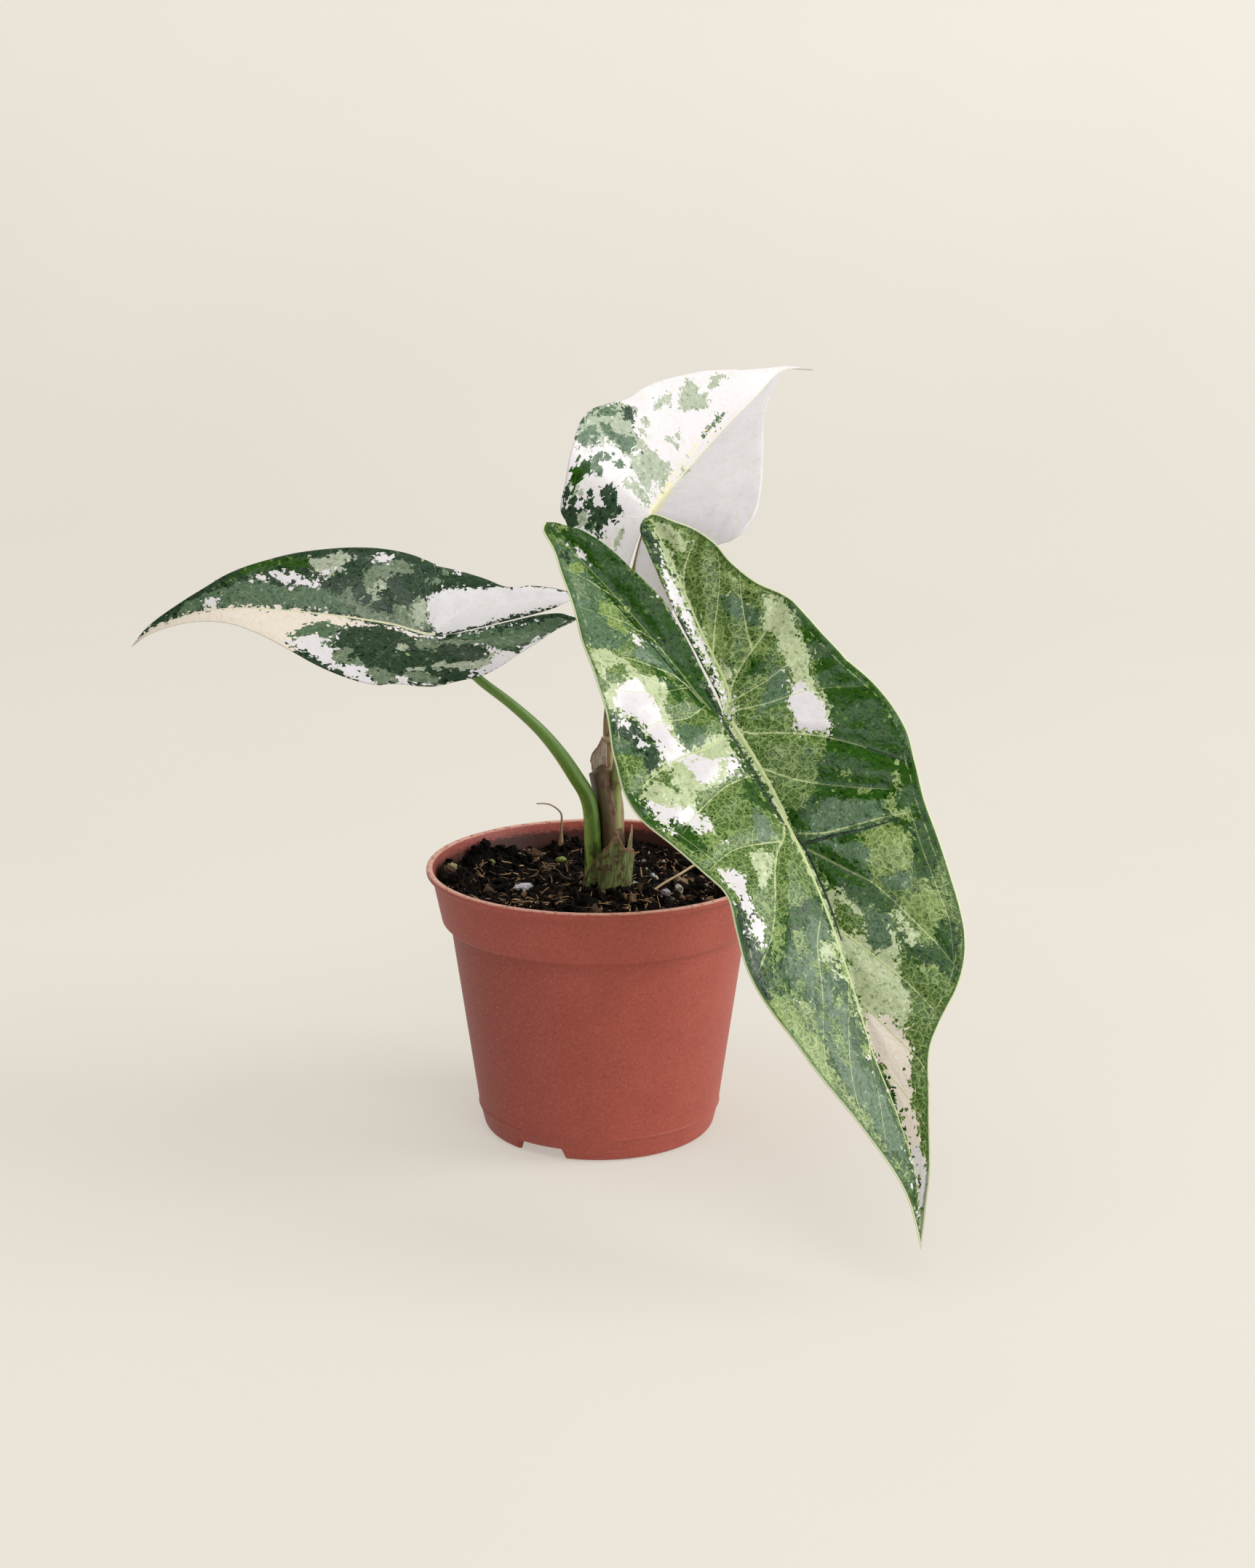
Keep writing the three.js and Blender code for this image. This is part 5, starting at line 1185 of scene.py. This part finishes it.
def pot_mesh():
    """The pot's wall and foot ring, with its notches."""
    P = POT
    centre = P["foot"] - P["corner"]
    profile = [
        [P["web"], P["base"]], [P["foot_inner"] - 0.8, P["base"]], [P["foot_inner"], 0], [centre, 0],
        *[[centre + P["corner"] * math.cos(math.radians(d)), P["corner"] * (1 + math.sin(math.radians(d)))]
          for d in (-70, -50, -30, -10)],
        [P["line_radius"] - 0.5, P["line"] - 0.5], [P["line_radius"] + 0.05, P["line"]],
        [P["line_radius"] - 0.25, P["line"] + 0.6],
        [P["body"], P["step"]], [P["band"] - P["band_corner"], P["step"] + 0.3],
        [P["band"], P["step"] + 0.3 + P["band_corner"]], [P["band_top_radius"], P["band_top"]],
        [P["rim"] - 0.5, P["band_top"] + 1], [P["rim"], P["band_top"] + 1.6], [P["rim"], P["height"] - 0.5],
        [P["rim"] - 0.5, P["height"]], [P["rim"] - 1.6, P["height"]], [P["rim"] - 2.2, P["height"] - 0.5],
        [P["band_top_radius"] - P["wall"], P["band_top"]], [P["band"] - P["wall"], P["step"] + 1.6],
        [P["body"] - P["wall"], P["step"] - 0.6], [P["line_radius"] - 0.3 - P["wall"], P["line"] + 1],
        [P["foot"] - 2.4, P["base"] + P["wall"]], [P["web"], P["base"] + P["wall"]]]
    profile = filled(softened(profile, 0.35), 4.0)
    angles = list(np.radians(np.arange(0, 360, 1.5)))
    flat = NOTCH["half"] - NOTCH["slope"]
    for degrees in NOTCH["degrees"]:
        for x in (-NOTCH["half"], -flat, flat, NOTCH["half"]):
            angles.append((math.radians(degrees) + x / P["foot"]) % (2 * math.pi))
    angles = np.unique(np.round(angles, 5))
    away = np.abs((angles[:, None] - np.radians(NOTCH["degrees"])[None] + np.pi) % (2 * np.pi) - np.pi)
    gap = NOTCH["height"] * np.clip((NOTCH["half"] - away.min(1) * P["foot"]) / NOTCH["slope"], 0, 1)
    r, z = profile.T[:, :, None]
    z = np.where(z < P["base"], P["base"] - (P["base"] - z) * (1 - gap[None] / P["base"]), z)
    return spun(r, z, angles), quads(len(profile), len(angles), wrap=True)


def plate_mesh():
    """The pot's base with its hub and its six drain holes."""
    P = POT
    profile = np.array([
        [P["hub"], 0], [P["hub"] + 1.4, P["base"]], [P["plate"], P["base"]],
        [P["plate"], P["base"] + P["wall"]], [P["hub"] + 0.6, P["base"] + P["wall"]],
        [P["hub"] - 0.8, P["hub_floor"]]])
    turn = np.radians(np.arange(0, 360, 5))
    r, z = profile.T[:, :, None]
    points = np.vstack([spun(r, z, turn), [[0, 0, 0], [0, 0, P["hub_floor"]]]])
    n, m = len(turn), len(points)
    faces = quads(len(r), n, wrap=True).tolist()
    floor = m - 2 - n
    faces += [[m - 2, (j + 1) % n, j] for j in range(n)]
    faces += [[m - 1, floor + j, floor + (j + 1) % n] for j in range(n)]
    mesh = bpy.data.meshes.new("plate")
    mesh.from_pydata(points.tolist(), [], faces)
    plate = add_object("plate", mesh)
    cuts = []
    for degrees in HOLES["degrees"]:
        bpy.ops.mesh.primitive_cylinder_add(vertices=28, radius=HOLES["radius"], depth=5 * P["wall"])
        cut = bpy.context.object
        cut.location = spun(HOLES["ring"], P["base"] + P["wall"] / 2, math.radians(degrees))[0]
        cuts.append(cut)
        modifier = plate.modifiers.new("hole", "BOOLEAN")
        modifier.object, modifier.operation = cut, "DIFFERENCE"
    bpy.context.view_layer.update()
    done = plate.evaluated_get(bpy.context.evaluated_depsgraph_get()).to_mesh()
    points = np.array([v.co for v in done.vertices])
    faces = [list(p.vertices) for p in done.polygons]
    for thing in [plate] + cuts:
        bpy.data.objects.remove(thing)
    return points, faces


def pot_material():
    """Matt brick-red plastic with painted shade down its left side, a painted highlight broken along the
    top of its lip, darker streaks over the top of the band and the lip, and soiled inside.
    """
    s = Shade("pot_plastic", 0.5, Specular_IOR_Level=0.4)
    at = s.place()
    across, height = s.axis(at, 0), s.axis(at, 2)
    speck = s.noise(at, 1.1, 3.0, 0.6)
    cloud = s.noise(at, 0.06, 4.0)
    colour = s.mix(s.step(cloud, 0.35, 0.7), linear((164, 75, 61)), linear((170, 80, 66)))
    # painted shade: darker toward the left side, and darker again low on the left below the band
    colour = s.tint(colour, s.step(across, -8, -58), (152, 67, 57))
    low = s.times(s.step(across, 0, -54), s.step(height, 77, 74))
    colour = s.tint(colour, s.times(low, 0.8), (134, 58, 49))
    colour = s.tint(colour, s.times(s.step(speck, 0.5, 0.72), 0.45), (186, 104, 90))
    colour = s.tint(colour, s.times(s.step(speck, 0.46, 0.28), 0.45), (124, 50, 41))
    wobble = s.noise(s.stretch(at, 1, 1, 3), 0.5, 6.0, 0.7)
    # painted highlight: a paler line, broken in places, along the top of the lip
    lip = s.times(s.step(height, 94.2, 94.9), s.step(wobble, 0.36, 0.5))
    colour = s.tint(colour, s.times(lip, 0.9), (222, 170, 150))
    below = s.math("MULTIPLY_ADD", wobble, 8.0, s.math("SUBTRACT", 94.0, height))
    soiled = s.times(s.attribute("inside"), s.step(below, 4.5, 7.5))
    colour = s.tint(colour, s.times(soiled, 0.88), (50, 31, 24))
    # darker streaks over the top of the band and the lip
    streaks = s.step(s.noise(s.stretch(at, 1, 1, 0.35), 1.2, 8.0, 0.8), 0.66, 0.74)
    band = s.times(s.step(height, 88, 92), streaks)
    colour = s.tint(colour, s.times(band, 0.5), (120, 58, 46))
    s.set("Base Color", colour)
    s.set("Roughness", s.math("MULTIPLY_ADD", s.noise(at, 0.9, 4.0), 0.2, 0.42))
    s.bump(s.noise(at, 2.2, 3.0, 0.6), 0.25, 0.08)
    return s.material


def make_pot():
    wall, ring = pot_mesh()
    plate, base = plate_mesh()
    points = np.vstack([wall, plate])
    faces = ring.tolist() + [[k + len(wall) for k in f] for f in base]
    reach = np.hypot(points[:, 0], points[:, 1])
    high = points[:, 2]
    inside = ((reach < outer_radius(high) - 0.7) & (high > POT["base"] + 0.5)).astype(float)
    pot = make_piece("pot_body", points, faces, pot_material(), ["pot"], {"inside": inside})
    edges = pot.modifiers.new("corners", "EDGE_SPLIT")
    edges.split_angle = math.radians(38)


# Soil

SOIL_LEVEL = 86
SOIL_REACH = 55.2
CRUMB_REACH = 54.6
FIBRE_REACH, FIBRE_LIMIT = 49, 53

# Humps in the soil: height, x, y, and the square of the spread in x and in y
HUMPS = [(1.2, 3, 0, 180, 180), (5.5, -54, 8, 80, 450), (7, -42, 33, 60, 60), (2.5, -11, 49, 30, 30)]

# Rough crumb over them: height, size and seed
ROUGHNESS = [(0.9, 5, 7), (0.6, 2.2, 8), (0.3, 1.1, 9)]


def soil_height(x, y):
    """The top of the soil over arrays of places."""
    lumps = np.sin(0.23 * x + 1.1) * np.cos(0.19 * y - 0.4) + 0.6 * np.sin(0.41 * x - 0.31 * y)
    top = SOIL_LEVEL + 0.78 * lumps
    for high, at_x, at_y, wide, deep in HUMPS:
        top = top + high * np.exp(-((x - at_x) ** 2) / wide - ((y - at_y) ** 2) / deep)
    for high, size, seed in ROUGHNESS:
        top = top + high * lattice_noise(x, y, size, seed)
    return top


def soil_top(x, y):
    """The top of the soil at one place."""
    return float(soil_height(np.array([x]), np.array([y]))[0])


def soil_material():
    """Dark peat with bark and pumice among it, with painted shade over its back left."""
    s = Shade("soil_mix", 0.9, Specular_IOR_Level=0.15)
    at = s.place()
    tone = s.attribute("tone")
    grain = s.noise(at, 0.8, 6.0, 0.7)
    colour = s.mix(s.step(grain, 0.35, 0.65), linear((5, 3, 2)), linear((29, 20, 15)))
    colour = s.tint(colour, s.times(s.step(tone, 0.9, 0.995), 0.8), (146, 114, 86))
    colour = s.tint(colour, s.step(tone, 0.984, 0.988), (196, 190, 172))
    # painted shade: the back left of the soil darkened
    painted_shade_back_left = s.times(s.step(s.axis(at, 0), -8, -34), s.step(s.axis(at, 1), -4, 20))
    colour = s.tint(colour, s.times(painted_shade_back_left, 0.85), (5, 3, 2))
    s.set("Base Color", colour)
    s.bump(grain, 0.6, 0.5)
    return s.material


def make_soil(material):
    """The soil bed down to the pot's base."""
    rings, spokes = 90, 300
    share = np.linspace(0, 1, rings) ** 0.8
    turn = np.linspace(0, 2 * np.pi, spokes, endpoint=False)
    r, a = np.meshgrid(share * SOIL_REACH, turn, indexing="ij")
    x, y = r * np.sin(a), -r * np.cos(a)
    top = np.stack([x, y, soil_height(x, y)], -1).reshape(-1, 3)
    wall = [(54, 80), (53, 76.4), (50.2, 74), (41, 9.7), (38, 6), (1, 5.9)]
    points = np.vstack([top] + [spun(radius, z, turn) for radius, z in wall])
    faces = quads(rings + len(wall), spokes, wrap=True)
    tone = 0.5 + 0.5 * lattice_noise(points[:, 0], points[:, 1], 1.6, 12)
    make_piece("soil_bed", points, faces[:, ::-1], material, ["soil"], {"tone": tone * 0.6})


def rock(subdivisions):
    """A round ball of radius 1 to shape into a crumb or a grain."""
    bpy.ops.mesh.primitive_ico_sphere_add(subdivisions=subdivisions, radius=1)
    ball = bpy.context.object
    points = np.array([v.co for v in ball.data.vertices])
    faces = np.array([list(p.vertices) for p in ball.data.polygons])
    bpy.data.objects.remove(ball)
    return points, faces


def turned(points, angles):
    """Points turned about the three axes."""
    for k, a in enumerate(angles):
        i, j = (k + 1) % 3, (k + 2) % 3
        c, s = math.cos(a), math.sin(a)
        p = points.copy()
        p[:, i] = points[:, i] * c - points[:, j] * s
        p[:, j] = points[:, i] * s + points[:, j] * c
        points = p
    return points


def scatter_crumbs(material, count, smallest, largest, subdivisions, name):
    """Loose crumbs over the soil, most of them small."""
    shape, triangles = rock(subdivisions)
    points, faces, tones = [], [], []
    for k in range(count):
        size = smallest + (largest - smallest) * random.random() ** 3
        reach = CRUMB_REACH * math.sqrt(random.random())
        a = random.random() * 2 * math.pi
        x, y = reach * math.sin(a), -reach * math.cos(a)
        form = shape * (1 + 0.35 * random.uniform(-1, 1, (len(shape), 1)))
        form = form * size * random.uniform([0.6, 0.5, 0.4], [1.4, 1.1, 0.9])
        form = turned(form, random.random(3) * 6.28)
        z = soil_top(x, y) + 0.35 * size
        if reach + size > inner_radius(z) - 0.3:
            x, y = x * 0.94, y * 0.94
        points.append(form + [x, y, z])
        faces.append(triangles + k * len(shape))
        tones.append(np.full(len(shape), random.random()))
    values = {"tone": np.concatenate(tones)}
    make_piece(name, np.vstack(points), np.vstack(faces), material, (), values, smooth=False)


def fibre_material(name, dark, light):
    """Dry fibre that runs from a dark to a light tone."""
    s = Shade(name, 0.75)
    at = s.place()
    tone = s.attribute("tone")
    share = s.math("MULTIPLY_ADD", s.noise(at, 1.2, 4.0), 0.5, s.times(tone, 0.6))
    s.set("Base Color", s.mix(share, linear(dark), linear(light)))
    s.bump(s.noise(at, 2.0, 3.0), 0.4, 0.2)
    return s.material


def scatter_fibres(count):
    """Short fibres that lie over the soil; one that would reach the wall is left out."""
    points, faces, tones, total = [], [], [], 0
    for _ in range(count):
        reach, a = FIBRE_REACH * math.sqrt(random.random()), random.random() * 6.283
        x, y = reach * math.sin(a), -reach * math.cos(a)
        length, way = random.uniform(3, 12), random.random() * 6.283
        bend = random.normal(0, 0.09)
        steps = 7
        route = []
        rise = random.uniform(-0.2, 0.35)
        for k in range(steps):
            route.append([x, y, soil_top(x, y) + 0.5 + rise * k * 0.6])
            x += length / steps * math.cos(way)
            y += length / steps * math.sin(way)
            way += bend * length / steps + random.normal(0, 0.15)
        if np.hypot(*np.array(route)[:, :2].T).max() > FIBRE_LIMIT:
            continue
        thick = random.uniform(0.1, 0.3)
        p, f, *_ = sweep({"path": route, "radius": [thick, thick * 1.1, thick * 0.5]}, 4, 10)
        points.append(p)
        faces += [[i + total for i in face] for face in f]
        tones.append(np.full(len(p), random.random()))
        total += len(p)
    material = fibre_material("fibre_mix", (60, 40, 28), (196, 156, 112))
    values = {"tone": np.concatenate(tones)}
    make_piece("soil_fibres", np.vstack(points), faces, material, (), values)


def make_grain(index, grain):
    """One pitted stone of the soil."""
    at, half, turn, colour = grain
    shape, triangles = rock(4)
    rough = 0.16 * lattice_noise(shape[:, 0] * 3 + index * 7, shape[:, 1] * 3 + shape[:, 2] * 4, 1, index)
    rough += 0.08 * lattice_noise(shape[:, 0] * 8, shape[:, 2] * 8 + shape[:, 1] * 5, 1, index + 20)
    form = shape * (1 + rough)[:, None] * half
    form = turned(form, [0, 0, turn]) + at
    s = Shade(f"grain_skin_{index}", 0.85)
    place = s.place()
    pits = s.noise(place, 1.6, 5.0, 0.7)
    shade = s.mix(s.step(pits, 0.35, 0.6), linear([c * 0.6 for c in colour]), linear(colour))
    s.set("Base Color", s.tint(shade, s.step(s.noise(place, 0.7, 3.0), 0.58, 0.7), (120, 104, 84)))
    s.bump(pits, 0.6, 0.4)
    make_piece(f"grain_stone_{index}", form, triangles, s.material, [f"grain_{index}"])


# The plant

front_skin = leaf_material(
    "front_leaf_skin", "M", FRONT_PATCHES, rib_colour=(190, 202, 142), rib_share=1.0, margin_share=1.0,
    cast=(1.0, 1.0, 1.0), ragged=5.0)
left_skin = leaf_material(
    "left_leaf_skin", "K", LEFT_PATCHES, rib_colour=(212, 210, 176), rib_share=0.15, margin_share=0.0,
    cast=(1.1, 1.0, 1.15), ragged=6.0)
back_skin = leaf_material(
    "back_leaf_skin", "W", BACK_PATCHES, rib_colour=(224, 222, 184), rib_share=0.1, margin_share=0.0,
    cast=(1.04, 1.0, 1.15), ragged=6.5)
make_blade(
    "leaf_front", "blade_front", FRONT_LEAF, "M", FRONT_PATCHES, FRONT_VEINS, rows=(90, 190, 45),
    depth=1.25, wave=0.35, material=front_skin)
make_blade(
    "leaf_left", "blade_left", LEFT_LEAF, "K", LEFT_PATCHES, LEFT_VEINS, rows=(60, 120, 36),
    depth=0.5, wave=0.25, material=left_skin)
make_blade(
    "leaf_back", "blade_back", BACK_LEAF, "W", BACK_PATCHES, BACK_VEINS, rows=(60, 130, 40),
    depth=0.45, wave=0.3, material=back_skin)

make_stalk(
    "stalk_left", "petiole_left", LEFT_PETIOLE, sides=40, steps=150,
    tones=((44, 62, 22), (92, 128, 44), (150, 180, 84)), mottle=(50, 46, 26),
    mottled=lambda share: np.clip(1.25 - 3 * share, 0, 1), light_from=(-0.9, -0.2, 0.5), ridge=0.05)
make_stalk(
    "stalk_back", "petiole_back", BACK_PETIOLE, sides=36, steps=130,
    tones=((66, 50, 30), (118, 102, 56), (170, 148, 106)), mottle=(92, 62, 46),
    mottled=lambda share: 0.8 + 0 * share, light_from=(0.4, -0.8, 0.3), ridge=0.05, ring_at=138.8)
make_stalk(
    "stalk_front", "petiole_front", FRONT_PETIOLE, sides=36, steps=130,
    tones=((58, 58, 27), (104, 112, 52), (152, 160, 92)), mottle=(92, 70, 46),
    mottled=lambda share: 0.7 - 0.5 * share, light_from=(0.3, -0.7, 0.5), ridge=0.05)
make_stalk(
    "stem_base", "stem", STEM, sides=48, steps=90,
    tones=((40, 38, 20), (80, 72, 38), (142, 118, 90)), mottle=(92, 62, 48),
    mottled=lambda share: 0.9 + 0 * share, light_from=(0.8, -0.5, 0.2), ridge=0.06)

old_skin = sheath_material(
    "old_sheath_skin", low=(84, 96, 48), high=(140, 148, 90), edge=(132, 96, 70), spot=(96, 62, 44))
side_skin = sheath_material(
    "side_sheath_skin", low=(82, 92, 46), high=(136, 138, 82), edge=(168, 140, 112), spot=(104, 78, 54))
dry_skin = sheath_material(
    "dry_sheath_skin", low=(176, 150, 136), high=(222, 206, 198), edge=(150, 112, 92),
    spot=(190, 160, 140), roughness=0.7)
make_sheath(
    "sheath_old", "old_sheath", OLD_SHEATH, old_skin, thick=0.7, flare=0.4, ragged=0.35, seed=30)
make_sheath(
    "sheath_side", "side_sheath", SIDE_SHEATH, side_skin, thick=0.6, flare=0.3, ragged=0.3, seed=40)
make_sheath(
    "sheath_dry", "dry_sheath", DRY_SHEATH, dry_skin, thick=0.4, flare=0.5, ragged=0.5, seed=50)

for name, node, line, tones in (("dry_tendril", "tendril", TENDRIL, ((120, 84, 52), (196, 170, 132))),
                                ("pale_straw", "straw", STRAW, ((150, 120, 84), (214, 190, 150)))):
    p, f, share, *_ = sweep(line, 10, 70)
    make_piece(name, p, f, fibre_material(name + "_skin", *tones), [node], {"tone": share})

make_pot()
soil_skin = soil_material()
make_soil(soil_skin)
scatter_crumbs(soil_skin, count=3600, smallest=0.35, largest=1.6, subdivisions=1, name="soil_crumbs")
scatter_crumbs(soil_skin, count=420, smallest=1.0, largest=2.8, subdivisions=2, name="soil_lumps")
scatter_fibres(count=340)
for index, grain in enumerate(GRAINS, 1):
    make_grain(index, grain)


# Stage, in metres

def make_stage():
    """A pale paper sweep with a painted glow of its own, so its shadows stay soft."""
    s = Shade("backdrop_paper", 0.95, Specular_IOR_Level=0.1)
    at = s.place()
    tone = s.mix(s.noise(at, 0.004, 2.0), linear((166, 162, 155)), linear((169, 165, 158)))
    near = s.step(s.axis(at, 2), 500.0, 0.0)
    tone = s.mix(near, tone, s.mix(1.0, tone, (0.9, 0.9, 0.89, 1.0), "MULTIPLY"))
    s.set("Base Color", tone)
    # painted glow: the paper gives off a little light of its own
    s.set("Emission Color", tone)
    s.set("Emission Strength", 1.2)
    front, bend_from, bend, top, side = -4, 0.9, 0.8, 5, 5
    angles = np.linspace(0, math.pi / 2, 24)
    curve = [(bend_from + bend * math.sin(a), bend - bend * math.cos(a)) for a in angles]
    line = [(front, 0)] + curve + [(bend_from + bend, top)]
    points = [(x, y, z) for y, z in line for x in (-side, side)]
    mesh = bpy.data.meshes.new("floor_sweep")
    mesh.from_pydata(points, [], [(2 * k, 2 * k + 1, 2 * k + 3, 2 * k + 2) for k in range(len(line) - 1)])
    mesh.materials.append(s.material)
    mesh.polygons.foreach_set("use_smooth", [True] * len(mesh.polygons))
    add_object("floor_sweep", mesh)


def make_light(name, place, target, size, power, colour):
    """A soft square light at a place, turned to a target, with its power in watts."""
    data = bpy.data.lights.new(name, "AREA")
    data.shape, data.size, data.size_y, data.energy, data.color = "RECTANGLE", *size, power, colour
    lamp = add_object(name, data)
    lamp.location = place
    way = np.array(place) - np.array(target)
    lamp.rotation_euler = (math.acos(way[2] / np.linalg.norm(way)), 0, math.atan2(way[0], -way[1]))
    return lamp


make_stage()
make_light("window", (3.0, -0.3, 2.2), (0, 0, 0.12), (1.9, 1.9), 78, (0.99, 0.995, 1.0))
make_light("front", (0.3, -1.3, 2.0), (0, 0, 0.1), (1.2, 0.9), 13, (0.98, 0.99, 1.0))
make_light("right", (1.6, -0.5, 0.22), (0, 0, 0.06), (1.0, 1.0), 7, (1.0, 0.98, 0.98))
make_light("left", (-1.0, -0.9, 2.2), (0, 0, 0.2), (1.2, 1.2), 6, (0.97, 0.985, 1.0)).visible_glossy = False
make_light("sky", (0.1, 0.7, 2.4), (0, 0, 0), (2.6, 2.6), 5, (0.95, 0.98, 1.0)).visible_glossy = False
bpy.context.scene.view_settings.view_transform = "Standard"
world = bpy.data.worlds.new("studio")
world.use_nodes = True
background = world.node_tree.nodes["Background"]
background.inputs["Color"].default_value = (1.0, 0.99, 0.98, 1)
background.inputs["Strength"].default_value = 0.42
world.cycles_visibility.glossy = False
bpy.context.scene.world = world

FOCAL_PIXELS = 3688
LONG_SIDE_PIXELS = 2156
SENSOR = 36
PITCH = 14.48
camera = add_object("camera", bpy.data.cameras.new("camera"))
camera.data.sensor_width = SENSOR
camera.data.lens = SENSOR * FOCAL_PIXELS / LONG_SIDE_PIXELS
camera.location = (0.0101, -0.900, 0.356)
camera.rotation_euler = (math.radians(90 - PITCH), 0, 0)
bpy.context.scene.camera = camera
